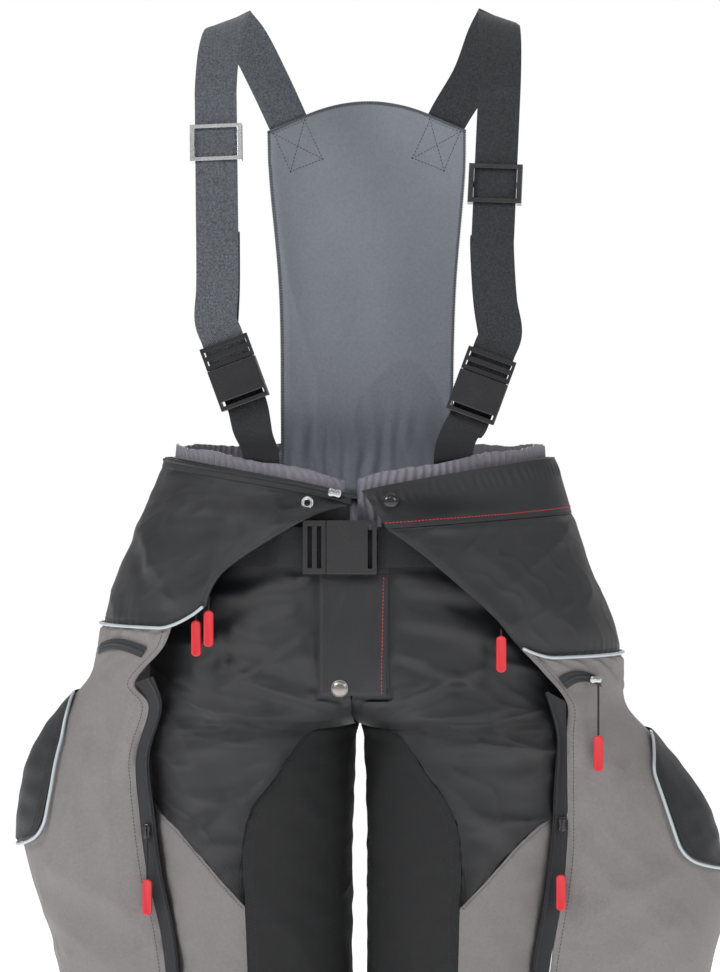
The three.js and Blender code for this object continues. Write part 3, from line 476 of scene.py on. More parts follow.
FRONT_CREASES = (
    ((8, -212), (118, -168), 7, 2.4), ((6, -222), (140, -206), 8, 2.6),
    ((14, -232), (150, -244), 8, 2.2), ((46, -120), (150, -150), 8, 1.8),
    ((40, -150), (120, -190), 6, 1.7), ((44, -96), (128, -104), 7, 1.5),
    ((70, -262), (150, -330), 9, 1.8), ((10, -205), (38, -190), 5, 1.8),
    ((20, -300), (70, -260), 9, 1.6),
)


def body_folds(p, across, down, edge):
    """Creases of the padded front: they fan out from the crotch and from the fly's foot."""
    x, z = p[..., 0], p[..., 2]
    calm = np.clip((z + 420) / 90, 0, 1)
    lift = 1.1 * waves(p, 95, 3) + 0.6 * waves(p, 38, 5, (1, 0.6, 1.5))
    lift = lift + 2.1 * creases(p, 120, 6, (0.7, 0.5, 1.7))
    lift = lift + 0.9 * creases(p, 55, 7, (0.8, 0.5, 1.6)) - 0.8
    for side in (-1, 1):
        lift = folded(lift, p, FRONT_CREASES, side)
    under_fly = (np.abs(x - 4) < 36) & (z > -197)
    flat_front = np.where(z > -86, 0.4, 1.0) * np.where(under_fly, 0.2, 1.0)
    near = np.exp(-edge / 9)
    pucker = np.sin((across + down) * 2 * math.pi / 13 + 2 * waves(p, 60, 8))
    lift = 1.45 * lift * calm * flat_front + 0.5 * near * pucker
    return np.clip(lift, -4.0, np.where(z > -86, 1.4, 4.6))


def leg_folds(p, across, down, edge):
    """Long soft creases of the matt and grey leg panels, with knee wrinkles at the back."""
    z = p[..., 2]
    lift = 0.9 * waves(p, 120, 11) + 0.6 * waves(p, 40, 12, (1, 1, 2.0)) - 0.5
    lift = lift + 1.5 * creases(p, 130, 15, (1.1, 0.6, 0.6)) + 0.6 * creases(p, 60, 16)
    lift = lift + 1.2 * np.sin(z / 11 + 2.5 * waves(p, 90, 13)) * np.exp(-(((z + 470) / 45) ** 2))
    lift = lift + 1.4 * np.sin(z / 13 + 2 * waves(p, 80, 14)) * np.exp(-(((z + 935) / 55) ** 2))
    near = np.exp(-edge / 8)
    return np.clip(lift + 0.4 * near * np.sin((across + down) * 2 * math.pi / 12), -2.6, 2.6)


stitches = {
    thread: [] for thread in ("trousers", "left_outer", "right_outer", "red", "fly", "red_fly")
}
cloth_faces = {}


def inset(at, which, gap, start=0.0, stop=1.0, steps=160):
    """Points this far, in mm, inside one edge of a piece: "left", "right", "top" or "foot"."""
    t = np.linspace(start, stop, steps)
    s = np.linspace(0, 1, 60)
    if which in ("left", "right"):
        u, v = np.meshgrid(s if which == "left" else 1 - s, t)
    else:
        v, u = np.meshgrid(s if which == "top" else 1 - s, t)
    p = at(u, v, 0.0)
    run = measures(p)[0]
    place = np.array([np.interp(gap, row, s) for row in run])
    place = place if which in ("left", "top") else 1 - place
    u, v = (place, t) if which in ("left", "right") else (t, place)
    return at(u[None], v[None], 2.0)[0]


def sew(thread, mesh, path):
    """Lays a row of stitches on the outer face of a finished piece of cloth."""
    points = np.empty(3 * len(mesh.vertices))
    mesh.vertices.foreach_get("co", points)
    if mesh.name not in cloth_faces:
        corners = [tuple(face.vertices) for face in mesh.polygons]
        cloth_faces[mesh.name] = BVHTree.FromPolygons(points.reshape(-1, 3).tolist(), corners)
    hits = [cloth_faces[mesh.name].find_nearest(Vector(p * 0.001)) for p in path]
    stitches[thread].append((np.array([h[0] for h in hits]), np.array([h[1] for h in hits])))


# Shares of the inside leg at which the panels' rows lie; the knee seam is the seventh.
LEG_SHARES = [0, 0.006, 0.04, 0.087, 0.12, 0.16, 0.205, 0.25, 0.3, 0.37, 0.45, 0.52, 0.6, 0.7, 0.8,
              0.9, 1]
for hand, side in (("left", -1), ("right", 1)):
    for part, face in (("front", 1), ("seat", -1)):
        at = panel_at(side, face)
        mesh = cloth_mesh(f"{hand}_{part}_cloth", at, 84, 150, 3.0, body_folds)
        show(f"{hand}_{part}_cloth", mesh, NYLON, "nylon", "trousers",
                                  f"{hand}_{part}_panel")

    def inner_leg(u, v, out, side=side):
        z = below(np.interp(v * 16, np.arange(17), LEG_SHARES))
        turn = seam_angle(z) + SLACK
        return skin(side, mixed(turn, 360 - turn, u), z - 0.4 * np.maximum(0, 1 - 12 * v), out)

    mesh = cloth_mesh(f"{hand}_inner_leg_cloth", inner_leg, 70, 190, 3.0, leg_folds)
    show(f"{hand}_inner_leg_cloth", mesh, REINFORCED, "reinforcement",
                              "trousers", f"{hand}_inner_leg_panel")
    for gap in (3, 9):
        for which in ("left", "right"):
            sew("trousers", mesh, inset(inner_leg, which, gap, 0.01, 1, 300))

    def lower_leg(u, v, out, side=side):
        wide = mixed(-88, 88, u)
        row = np.interp(v * 10, np.arange(11), LEG_SHARES[6:])
        top = below(knee_share(np.abs(wide))) - 0.4 * np.maximum(0, 1 - 12 * v)
        z = mixed(top, HEM, (row - 0.205) / 0.795)
        return skin(side, wide * (seam_angle(below(row)) - SLACK) / 88, z, out)

    mesh = cloth_mesh(f"{hand}_lower_leg_cloth", lower_leg, 90, 150, 3.0, leg_folds)
    show(f"{hand}_lower_leg_cloth", mesh, GREY, "grey_shell", "trousers",
                              f"{hand}_lower_leg_panel")
    sew("trousers", mesh, inset(lower_leg, "top", 3, 0.01, 0.99, 240))
    sew("trousers", mesh, inset(lower_leg, "foot", 14, 0.01, 0.99, 240))

# Waist. Nylon bands round the top edge, and inside them a gathered satin lining that
# stretches: it is drawn up by elastic, so its free top edge is ruffled.
def left_band(u, v, out):
    angle = mixed(SLACK, 90 - SLACK, u)
    return skin(-1, angle, mixed(band_top(angle), band_bottom(angle) + 0.2, v), out)


def rear_band(u, v, out):
    return skin(1, -mixed(SLACK, 180 - SLACK, u), mixed(20, -31.8, v), out)


def gathers(amount, pitch):
    def relief(p, across, down, edge):
        drawn = np.sin(across * 2 * math.pi / pitch + 2.2 * waves(p, 45, 21) + 0.02 * down)
        return -amount * (0.55 + 0.45 * drawn) + 0.35 * waves(p, 30, 22)

    return relief


def elastic(u, v, out):
    angle = mixed(88, -268, u)
    top = band_top(np.where(angle < -180, -180 - angle, angle)) + 11
    uneven = 3 * np.sin(u * 41) + 2.2 * np.sin(u * 97 + 1)
    ruffle = (0.4 * np.sin(u * 2 * math.pi * 47 + uneven) + 1.0 * np.sin(u * 67)) * np.exp(-v * 6)
    return skin(1, angle, mixed(top, -46, v) + ruffle * (1 - v), -3.9 + out)


for name, at, columns, rows, node in (
    ("left_waist_cloth", left_band, 90, 16, "left_waistband"),
    ("rear_waist_cloth", rear_band, 200, 20, "rear_waistband"),
):
    mesh = cloth_mesh(name, at, columns, rows, 3.0, gathers(1.0, 9), pinch=0.8)
    show(name, mesh, NYLON, "nylon", "trousers", node)
mesh = cloth_mesh("gathered_lining", elastic, 700, 26, 1.4, gathers(2.2, 7.5), pinch=0.2)
lining = show("gathered_lining", mesh, LINING, "lining", "trousers", "elastic_waist_lining")

# Outer halves. Each hangs from a black nylon yoke with pale piping along its foot, in warm
# grey cloth gathered into the piping, and flares open where its side zip is undone.
shell_outer = {
    "left": smooth((20, 181), (-17, 194), (-88, 225), (-150, 244), (-185, 256), (-236, 297),
                   (-276, 315), (-339, 322), (-426, 292), (-600, 271), (HEM, 235)),
    "right": smooth((20, 181), (-11, 190), (-48, 202), (-149, 238), (-208, 247), (-243, 275),
                    (-295, 313), (-340, 330), (-413, 338), (-470, 317), (-600, 285), (HEM, 238)),
}
shell_middle = smooth((-120, 0), (-155, 20), (-185, 80), (-206, 120), (-240, 160), (-340, 160),
                      (-457, 145), (HEM, 145))
shell_depth = {
    hand: smooth((20, 116), (-13, 117), (-35, 134.5 + proud), (-50, 137.5 + proud),
                 (-90, 143 + proud), (-135, 143), (-185, 120), (-236, 95), (HEM, 88))
    for hand, proud in (("left", 4.4), ("right", 0))
}
shell_centre = smooth((20, 0), (-135, 4), (-185, 18), (-236, 30), (-400, 30), (HEM, 20))
shell_back = smooth((-135, -60), (-236, -80))
shell_front = {
    "left": smooth((-134, -60 + 116 * 12 / 13), (-155, 46.5), (-185, 46), (-206, 56), (-240, 69),
                   (-300, 77), (HEM, 79)),
    "right": smooth((-160, 52), (-206, 51), (-229, 63), (-290, 78), (HEM, 78)),
}
PIPE_LINE = {"left": -134, "right": -160}
SHELL = 2.4


def shell(hand, angle, z, out=0.0):
    side = -1 if hand == "left" else 1
    middle = shell_middle(z)
    half = shell_outer[hand](z) - middle + out
    turn = np.radians(angle)
    return point(
        side * (middle + half * np.cos(turn)),
        shell_centre(z) - (shell_depth[hand](z) + out) * np.sin(turn),
        z,
    )


def pipe_line(hand, angle):
    return PIPE_LINE[hand] + 20 * np.clip((angle - 44) / 12, 0, 1) ** 2


yoke_front = {
    "left": smooth((1, 56), (0.85, 57.5), (0.7, 60), (0.5, 67.5), (0.17, 81), (0, 90.5)),
    "right": smooth((1, 52), (0.63, 61), (0.25, 71.6), (0, 80)),
}


def right_band(u, v, out):
    angle = mixed(-60, mixed(87, 80, v), u)
    return shell("right", angle, mixed(band_top(angle), band_bottom(angle) + 0.2, v), out)


def band_folds(p, across, down, edge):
    drawn = np.sin(across * 2 * math.pi / 8 + 2 * waves(p, 40, 31))
    upper = np.exp(-(((down - 12) / 6) ** 2))
    return 0.55 * drawn * upper + 0.5 * waves(p, 50, 32) - 0.3


mesh = cloth_mesh("right_waist_cloth", right_band, 220, 24, 3.0, band_folds, pinch=0.8)
show("right_waist_cloth", mesh, NYLON, "nylon", "trousers", "right_waistband")
sew("red", mesh, inset(right_band, "foot", 7, 0.42, 0.995, 160))
sew("trousers", mesh, inset(right_band, "foot", 2.5, 0.02, 0.99, 220))


def cut(at):
    """Width, length and area in metres of the flat cloth that a piece is cut from."""
    u, v = np.meshgrid(np.linspace(0, 1, 60), np.linspace(0, 1, 60))
    p = at(u, v, 0.0)
    across, down = measures(p)
    one, two = p[1:, 1:] - p[:-1, :-1], p[1:, :-1] - p[:-1, 1:]
    area = np.linalg.norm(np.cross(one, two), axis=2).sum() / 2
    size = (float(across[:, -1].max()) * 0.001, float(down[-1].max()) * 0.001)
    return size, min(float(area) * 1e-6, size[0] * size[1])


YOKE_CREASES = {
    "left": (
        ((-205, -40), (-150, -118), 9, 2.0), ((-110, -50), (-190, -82), 8, 1.7),
        ((-95, -82), (-178, -116), 8, 1.6), ((-60, -38), (-120, -60), 6, 1.2),
    ),
    "right": (
        ((70, -60), (150, -140), 9, 1.8), ((110, -58), (190, -130), 10, 1.6),
        ((60, -84), (130, -156), 8, 1.4), ((45, -34), (95, -44), 5, 1.2),
    ),
}
LEG_CREASES = (
    ((292, -356), (205, -400), 12, 2.6), ((300, -400), (215, -452), 12, 2.4),
    ((262, -236), (222, -330), 11, 2.2), ((232, -180), (268, -226), 8, 1.8),
)
PATCH_HEIGHTS = {"left": (-340, -199), "right": (-356, -233)}
POCKET_SPAN = {"left": (16, 42, -157), "right": (30, 48, -184)}


def soft_step(value, place, width):
    return 1 / (1 + np.exp(-np.clip((value - place) / width, -30, 30)))


def shell_angle(hand, p):
    side = -1 if hand == "left" else 1
    x, y, z = p[..., 0], p[..., 1], p[..., 2]
    reach = (side * x - shell_middle(z)) / (shell_outer[hand](z) - shell_middle(z))
    return np.degrees(np.arctan2((shell_centre(z) - y) / shell_depth[hand](z), reach))


def patch_front(hand, z):
    low, top = PATCH_HEIGHTS[hand]
    keys = smooth((0, 10), (0.12, 24), (0.3, 36), (0.75, 38), (0.93, 31), (1, 14))
    return keys((top - z) / (top - low))


def by_rows(base, rows):
    """The same surface carried smoothly from one level row to the next."""

    def at(u, v, out):
        row = np.clip(np.floor(v * rows), 0, rows - 1)
        t = (v * rows - row)[..., None]
        a, b, c, d = (base(u, np.clip(row + k, 0, rows) / rows, out) for k in (-1, 0, 1, 2))
        return b + 0.5 * t * (c - a + t * (2 * a - 5 * b + 4 * c - d + t * (3 * (b - c) + d - a)))

    return at


for hand, side in (("left", -1), ("right", 1)):

    def yoke(u, v, out, hand=hand):
        fall = v**1.4
        angle = mixed(-60, yoke_front[hand](fall), u)
        top = band_top(angle) - 9.4 if hand == "left" else band_bottom(angle) - 0.4
        return shell(hand, angle, mixed(top, pipe_line(hand, angle) + 0.2, fall), out)

    def yoke_folds(p, across, down, edge, hand=hand):
        lift = 0.9 * waves(p, 70, 41) + 0.5 * waves(p, 26, 42, (1, 1, 0.6)) - 0.4
        lift = lift + 1.7 * creases(p, 90, 44, (0.8, 0.5, 1.4)) + 0.7 * creases(p, 42, 45)
        lift = folded(lift, p, YOKE_CREASES[hand])
        foot = np.exp(-((down[-1:] - down) / 9))
        return lift * (1 - foot) + 0.5 * foot * np.sin(across * 2 * math.pi / 11 + waves(p, 50, 43))

    mesh = cloth_mesh(f"{hand}_yoke_cloth", yoke, 150, 84, SHELL, yoke_folds)
    piece = show(f"{hand}_yoke_cloth", mesh, NYLON, "nylon", "trousers", f"{hand}_yoke")
    sew("trousers", mesh, inset(yoke, "foot", 5, 0.02, 0.98, 260))
    sew("trousers", mesh, inset(yoke, "right", 4, 0.02, 0.98, 160))
    size, area = cut(yoke)

    def leg(u, v, out, hand=hand):
        fall = v**1.4
        rough = mixed(PIPE_LINE[hand], HEM, fall)
        angle = mixed(shell_front[hand](rough), shell_back(rough), u)
        return shell(hand, angle, mixed(pipe_line(hand, angle) - 0.2, HEM, fall), out)

    def outer_folds(p, across, down, edge, hand=hand, side=side):
        x, z = p[..., 0] * side, p[..., 2]
        lift = 1.3 * waves(p, 120, 51) + 0.8 * waves(p, 46, 52, (1, 1, 0.7)) - 0.8
        lift = lift + 2.4 * creases(p, 150, 56, (0.9, 0.6, 1.2)) + 0.9 * creases(p, 60, 57)
        pleats = np.sin(across * 2 * math.pi / 24 + 2.6 * waves(p, 90, 53))
        lift = lift + 2.2 * pleats * np.exp(-down / 26) * np.clip(down / 6, 0, 1)
        slanted = np.sin((z + 0.5 * x) / 12 + 2.2 * waves(p, 80, 54))
        lift = lift + 1.9 * slanted * np.exp(-(((z + 250) / 34) ** 2))
        lift = folded(lift, p, LEG_CREASES, side)
        hem_rolls = np.sin(z / 17 + 2 * waves(p, 140, 55))
        lift = lift + 1.6 * hem_rolls * np.exp(-(((z + 900) / 80) ** 2))
        lift = np.clip(1.25 * lift, -2.6, 5.2) * np.clip(edge / 5, 0.1, 1)
        turn = shell_angle(hand, p)
        low, top = PATCH_HEIGHTS[hand]
        covered = soft_step(turn, patch_front(hand, z) + 9, -3) * soft_step(z, low - 9, 2.5)
        covered = covered * soft_step(z, top + 5, -2.5)
        start, stop, level = POCKET_SPAN[hand]
        mouth = soft_step(turn, start - 4, 1) * soft_step(turn, stop + 4, -1)
        mouth = mouth * soft_step(np.abs(z - level - 3), 14, -2)
        held = np.maximum(covered, mouth)
        return mixed(lift, np.clip(lift * 0.35, -1.4, 0.7), held)

    leg = by_rows(leg, 15)
    mesh = cloth_mesh(f"{hand}_outer_cloth", leg, 140, 280, SHELL, outer_folds)
    piece = show(f"{hand}_outer_cloth", mesh, GREY, "grey_shell", f"{hand}_outer",
                 f"{hand}_outer_leg")
    sew(f"{hand}_outer", mesh, inset(leg, "left", 5, 0.02, 0.98, 300))
    sew(f"{hand}_outer", mesh, inset(leg, "foot", 14, 0.02, 0.98, 200))
    size, area = cut(leg)

# Piping and side patches. A bright reflective cord in a bias strip is sewn into each yoke's foot
# and round the front and foot of each patch of tough black cloth over the outside of the knee.
def moulded(name, colour, rough, grain, depth, metallic=0.0, coat=0.0, wear=0.25, scale=900):
    """Plastic, rubber, metal or coated cord: fine grain, slow drift in tone, rubbed high spots."""
    finish = Finish(name, metallic=metallic, coat_weight=coat, coat_roughness=0.12)
    fine = finish.noise(scale, 3)
    slow = finish.noise(60, 3)
    tone = (fine - 0.5) * grain + (slow - 0.5) * wear + 0.5
    dark = [0.7 * c for c in colour]
    light = [min(1, 1.3 * c) for c in colour]
    finish.feed("Base Color", finish.mix(tone, dark, light))
    finish.feed("Roughness", (slow - 0.5) * 0.25 + (fine - 0.5) * 0.2 + rough)
    finish.bump(fine, depth)
    return finish.material


REFLECTIVE = moulded("reflective_piping", (0.50, 0.56, 0.60), 0.42, 0.7, 0.0001, 0.25, scale=1500)
BLACK_PLASTIC = moulded("black_plastic", (0.012, 0.012, 0.014), 0.24, 0.3, 0.00003, coat=0.5)
BRIGHT_METAL = moulded("bright_metal", (0.62, 0.62, 0.63), 0.24, 0.25, 0.00004, 1.0)
NICKEL = moulded("antique_nickel", (0.36, 0.33, 0.31), 0.3, 0.4, 0.00006, 1.0, wear=0.9)
RED_RUBBER = moulded("red_rubber", (0.66, 0.022, 0.035), 0.4, 0.2, 0.00004, coat=0.15)
BLACK_CORD = moulded("black_cord", (0.014, 0.014, 0.016), 0.7, 0.8, 0.0003, scale=1800)
THREAD = moulded("black_thread", (0.020, 0.021, 0.025), 0.6, 0.6, 0.0001, scale=2500)
RED_THREAD = moulded("red_thread", (0.50, 0.020, 0.030), 0.55, 0.6, 0.0001, scale=2500)
COIL = moulded("zip_coil", (0.060, 0.064, 0.072), 0.35, 0.4, 0.00005)
PIPING_RADIUS = 1.5


def over_rings(name, rings, closed_up=False):
    """Shape over rings of points in mm, each joined to the next, with its faces turned out."""
    sides, count = len(rings[0]), len(rings)
    faces = []
    for k in range(count if closed_up else count - 1):
        low, high = k * sides, ((k + 1) % count) * sides
        for i in range(sides):
            j = (i + 1) % sides
            faces.append((low + i, low + j, high + j, high + i))
    if not closed_up:
        foot = (count - 1) * sides
        faces += [tuple(reversed(range(sides))), tuple(foot + i for i in range(sides))]
    points = np.concatenate(rings) * 0.001
    size = sum(
        points[f[0]] @ np.cross(points[f[i]], points[f[i + 1]])
        for f in faces for i in range(1, len(f) - 1)
    )
    if size <= 0:
        faces = [tuple(reversed(f)) for f in faces]
    mesh = bpy.data.meshes.new(name)
    mesh.from_pydata(points.tolist(), [], faces)
    mesh.shade_smooth()
    return mesh


def tube(name, path, radius, sides=10):
    """Round cord along points in mm, closed and rounded at both ends."""
    path = np.asarray(path, float)
    way = np.gradient(path, axis=0)
    way /= np.linalg.norm(way, axis=1)[:, None]
    start = np.array([0.0, 0, 1]) if abs(way[0, 2]) < 0.8 else np.array([1.0, 0, 0])
    rings, side_way = [], start
    ends = [(0, 0.55, -0.75), *[(k, 1, 0) for k in range(len(path))], (len(path) - 1, 0.55, 0.75)]
    for k, wide, push in ends:
        side_way = side_way - way[k] * (side_way @ way[k])
        side_way /= np.linalg.norm(side_way)
        other = np.cross(way[k], side_way)
        turn = np.linspace(0, 2 * math.pi, sides, endpoint=False)
        ring = np.outer(np.cos(turn), side_way) + np.outer(np.sin(turn), other)
        rings.append(path[k] + way[k] * push * radius + ring * radius * wide)
    return over_rings(name, rings)


for hand in ("left", "right"):
    u = np.linspace(0, 1, 160)
    angle = mixed(-60, yoke_front[hand](1), u)
    path = shell(hand, angle, pipe_line(hand, angle), 2.8)
    show(f"{hand}_yoke_cord", tube(f"{hand}_yoke_cord", path, PIPING_RADIUS), REFLECTIVE, "piping",
         "trousers", f"{hand}_yoke_piping")

    low, top = PATCH_HEIGHTS[hand]
    share = np.linspace(0, 1, 90)
    z = mixed(top, low, share)
    front = shell(hand, patch_front(hand, z) + 1.9, z - 3.2 * share, 4.5)
    foot = shell(hand, mixed(14, -50, np.linspace(0.06, 1, 60)), low - 3.2, 4.5)
    path = np.concatenate([front, foot])
    for _ in range(6):
        path[1:-1] = (path[:-2] + 2 * path[1:-1] + path[2:]) / 4
    show(f"{hand}_patch_cord", tube(f"{hand}_patch_cord", path, PIPING_RADIUS), REFLECTIVE,
         "piping", f"{hand}_outer", f"{hand}_patch_piping")

    def patch(u, v, out, hand=hand):
        low, top = PATCH_HEIGHTS[hand]
        z = mixed(top, low, v)
        return shell(hand, mixed(-50, patch_front(hand, z), u), z, 4.2 + out)

    def patch_folds(p, across, down, edge):
        lift = 0.8 * waves(p, 60, 61) + 0.7 * waves(p, 26, 62, (1, 1, 1.6))
        return np.clip(lift, -0.9, 2.2) * np.clip(edge / 8, 0, 1)

    mesh = cloth_mesh(f"{hand}_patch_cloth", patch, 80, 80, 1.2, patch_folds, pinch=0.3, rim=2)
    piece = show(f"{hand}_patch_cloth", mesh, PATCH, "patch", f"{hand}_outer", f"{hand}_side_patch")
    for gap in (4, 8):
        sew(f"{hand}_outer", mesh, inset(patch, "right", gap, 0.04, 0.96, 160))
        sew(f"{hand}_outer", mesh, inset(patch, "foot", gap, 0.04, 0.96, 120))
    size, area = cut(patch)

# Zips. Woven tape with a moulded coil along one edge: one down each outer half's free front
# edge, one along the top of the left yoke, and a short one in each pocket's mouth.
coils = {"trousers": [], "left_outer": [], "right_outer": []}


def along_tape(at, u, steps=400, start=0.0, stop=1.0, lift=0.5):
    v = np.linspace(start, stop, steps)
    here = at(np.full((1, steps), u), v[None], lift)[0]
    up = at(np.full((1, steps), u), v[None], lift + 1)[0] - here
    return here * 0.001, up / np.linalg.norm(up, axis=1)[:, None]


for hand in ("left", "right"):

    def side_tape(u, v, out, hand=hand):
        fall = mixed(2 / 15, 1, v) ** 1.4
        rough = mixed(PIPE_LINE[hand], HEM, fall)
        angle = shell_front[hand](rough) + np.degrees((0.4 + 9 * u) / 105)
        return shell(hand, angle, mixed(pipe_line(hand, angle) - 0.2, HEM, fall), -1.2 + out)

    side_tape = by_rows(side_tape, 13)
    mesh = cloth_mesh(f"{hand}_zip_cloth", side_tape, 8, 260, 1.2, None, pinch=0.2, rim=1)
    show(f"{hand}_zip_cloth", mesh, PATCH, "patch", f"{hand}_outer", f"{hand}_side_zip_tape")
    coils[f"{hand}_outer"].append(along_tape(side_tape, 0.8, 900))

    start, stop, level = POCKET_SPAN[hand]

    def pocket_tape(u, v, out, hand=hand, start=start, stop=stop, level=level):
        z = level + 6 * np.sin(math.pi * v) + mixed(5, -5, u)
        return shell(hand, mixed(start, stop, v), z, 2.6 + out)

    mesh = cloth_mesh(f"{hand}_pocket_cloth", pocket_tape, 14, 110, 1.2, None, pinch=0.3, rim=1.2)
    show(f"{hand}_pocket_cloth", mesh, PATCH, "patch", f"{hand}_outer", f"{hand}_pocket_zip")
    coils[f"{hand}_outer"].append(along_tape(pocket_tape, 0.5, 200, 0.02, 0.98, 0.1))


def waist_tape(u, v, out):
    angle = mixed(-60, 90.5, v)
    return shell("left", angle, band_top(angle) - 9 * u, out)


mesh = cloth_mesh("waist_zip_cloth", waist_tape, 10, 300, SHELL, None, pinch=0.2, rim=1)
show("waist_zip_cloth", mesh, PATCH, "patch", "trousers", "waist_zip_tape")
coils["trousers"].append(along_tape(waist_tape, 0.3, 500))

# Fly. A facing sewn to the front, and over it a padded flap that opens on its right edge,
# red-stitched down that edge and closed by one snap at its lower left corner.
def fly_y(z):
    return body_middle(z) - body_depth(z) - 0.6


def facing(u, v, out):
    z = mixed(-47, -187, v)
    return point(mixed(-21, 35, u), fly_y(z) - 1.6 - out, z)


def flap(u, v, out):
    z = mixed(-85, -193, v)
    return point(mixed(-27, 34.5 - 2 * v, u), fly_y(z) - 4.4 - out, z)


def flap_folds(p, across, down, edge):
    quilt = 0.5 * waves(p, 34, 71, (1, 0, 1)) + 0.6 * creases(p, 40, 72, (1.2, 0, 0.5)) - 0.2
    return np.clip(quilt, -0.9, 0.9) * np.clip(edge / 8, 0, 1)


mesh = cloth_mesh("fly_facing_cloth", facing, 60, 120, 1.6, None, pinch=0.4, rim=2)
piece = show("fly_facing_cloth", mesh, NYLON, "nylon", "trousers", "fly_facing")
sew("trousers", mesh, inset(facing, "left", 3, 0.02, 0.98, 120))
mesh = cloth_mesh("fly_flap_cloth", flap, 90, 150, 2.4, flap_folds, pinch=0.7, rim=3)
piece = show("fly_flap_cloth", mesh, NYLON, "nylon", "fly", "fly_flap")
sew("red_fly", mesh, inset(flap, "right", 4, 0.02, 0.98, 160))
for gap in (4, 7):
    sew("fly", mesh, inset(flap, "left", gap, 0.03, 0.97, 160))
sew("fly", mesh, inset(flap, "foot", 4, 0.05, 0.95, 90))

# Bib. One curved sheet of soft bluish grey cloth sewn inside the rear of the waist, its edge
# overlocked, with the braces' ends sewn on behind by a crossed box of stitching.
bib_half = smooth((345, 94), (300, 93), (181, 84), (60, 82), (-20, 84))
bib_depth = smooth((345, 96), (200, 103), (70, 97), (20, 103.5), (-20, 103.5))


def bib(u, v, out):
    x = mixed(-1, 1, u) * bib_half(mixed(345, -20, v))
    top = np.where(np.abs(x) < 58, 345 + 13 * (1 - (x / 58) ** 2), 345 - (np.abs(x) - 58) * 0.45)
    z = mixed(top, -20, v)
    return point(x, bib_depth(z) - x * x / 542 - 2.5 - out, z)


def bib_folds(p, across, down, edge):
    z = p[..., 2]
    lift = 1.8 * waves(p, 120, 81, (1, 0, 0.35)) + 0.6 * waves(p, 44, 82, (1, 0, 0.3))
    lift = lift + 1.6 * creases(p, 150, 84, (1.3, 0, 0.4)) - 0.5
    pleats = np.sin(p[..., 0] * 2 * math.pi / 17 + 1.4 * waves(p, 60, 83))
    lift = lift + 1.2 * pleats * soft_step(z, 52, -14)
    return np.clip(1.7 * lift, -3.0, 5.0) * np.clip(edge / 9, 0.1, 1)


mesh = cloth_mesh("bib_cloth", bib, 130, 230, 2.5, bib_folds, pinch=0.7, rim=3)
piece = show("bib_cloth", mesh, BIB, "bib", "trousers", "bib_panel")
size, area = cut(bib)
for side in (-1, 1):
    axis = np.array([[57, 297], [73, 333]]) * (side, 1)
    lean = np.array([0.92 * 16, -side * 0.39 * 16])
    corners = [axis[0] - lean, axis[0] + lean, axis[1] + lean, axis[1] - lean]
    for a, b in ((0, 1), (1, 2), (2, 3), (3, 0), (0, 2), (1, 3)):
        spot = mixed(corners[a], corners[b], np.linspace(0, 1, 40)[:, None])
        depth = bib_depth(spot[:, 1]) - spot[:, 0] ** 2 / 542 - 6
        sew("trousers", mesh, point(spot[:, 0], depth, spot[:, 1]))
overlock = []
for which in ("left", "right", "top"):
    sew("trousers", mesh, inset(bib, which, 1.6, 0.005, 0.995, 300))
    overlock.append(stitches["trousers"].pop())

# Braces and belt. Elastic webbing with ribs along its length, charcoal flecked with grey. Each
# brace is sewn behind the bib, runs over the shoulder through a slider and is doubled below it.
FLECKS = 520
# The left brace's webbing is painted lighter than the right brace's and both doubled tails':
# painted light, the left brace lit and the right in shade.
LIT_LEFT_WEBBING = woven("lit_left_brace_webbing", (0.100, 0.110, 0.126), 0.0019, 0.0007, 0.85, speck=2.6,
                     drift=0.2, fleck_scale=FLECKS)
RIGHT_WEBBING = woven("right_brace_webbing", (0.030, 0.032, 0.037), 0.0019, 0.0007, 0.85, speck=2.8,
                      drift=0.2, fleck_scale=FLECKS)
BELT_WEBBING = woven("belt_webbing", (0.016, 0.017, 0.020), 0.0022, 0.0008, 0.75, speck=1.4,
                     fleck_scale=FLECKS)


def route(keys, steps=40):
    """Smooth line through points, with knots spaced by the root of their distance."""
    keys = np.array(keys, float)
    keys = np.concatenate([[2 * keys[0] - keys[1]], keys, [2 * keys[-1] - keys[-2]]])
    gap = np.sqrt(np.linalg.norm(np.diff(keys, axis=0), axis=1))
    gap = np.maximum(gap, 1e-3)
    line = []
    for k in range(1, len(keys) - 2):
        a, b, c, d = keys[k - 1:k + 3]
        before, here, after = gap[k - 1:k + 2]
        one = ((b - a) / before - (c - a) / (before + here) + (c - b) / here) * here
        two = ((c - b) / here - (d - b) / (here + after) + (d - c) / after) * here
        t = np.linspace(0, 1, steps, endpoint=k == len(keys) - 3)[:, None]
        line.append(b * (1 + 2 * t) * (1 - t) ** 2 + one * t * (1 - t) ** 2
                    + c * t * t * (3 - 2 * t) + two * t * t * (t - 1))
    return np.concatenate(line)


def ribbon(keys, width, thick, front=1):
    """Flat webbing through (point, across) keys; front -1 turns its outer face over."""
    line = route([k[0] for k in keys])
    knots = np.linspace(0, 1, len(keys))
    place = np.linspace(0, 1, len(line))
    across = np.stack([np.interp(place, knots, [k[1][i] for k in keys]) for i in range(3)], 1)
    way = np.gradient(line, axis=0)
    way /= np.linalg.norm(way, axis=1)[:, None]
    across -= way * (across * way).sum(1)[:, None]
    across /= np.linalg.norm(across, axis=1)[:, None]
    face = front * np.cross(way, across)
    run = np.concatenate([[0], np.cumsum(np.linalg.norm(np.diff(line, axis=0), axis=1))])
    run /= run[-1]

    def pick(table, v):
        return np.stack([np.interp(v, run, table[:, i]) for i in range(3)], -1)

    def at(u, v, out):
        lift = (out + thick / 2) * np.ones_like(u)
        wide = pick(across, v) * ((u - 0.5) * width)[..., None]
        return pick(line, v) + wide + pick(face, v) * lift[..., None]

    return at


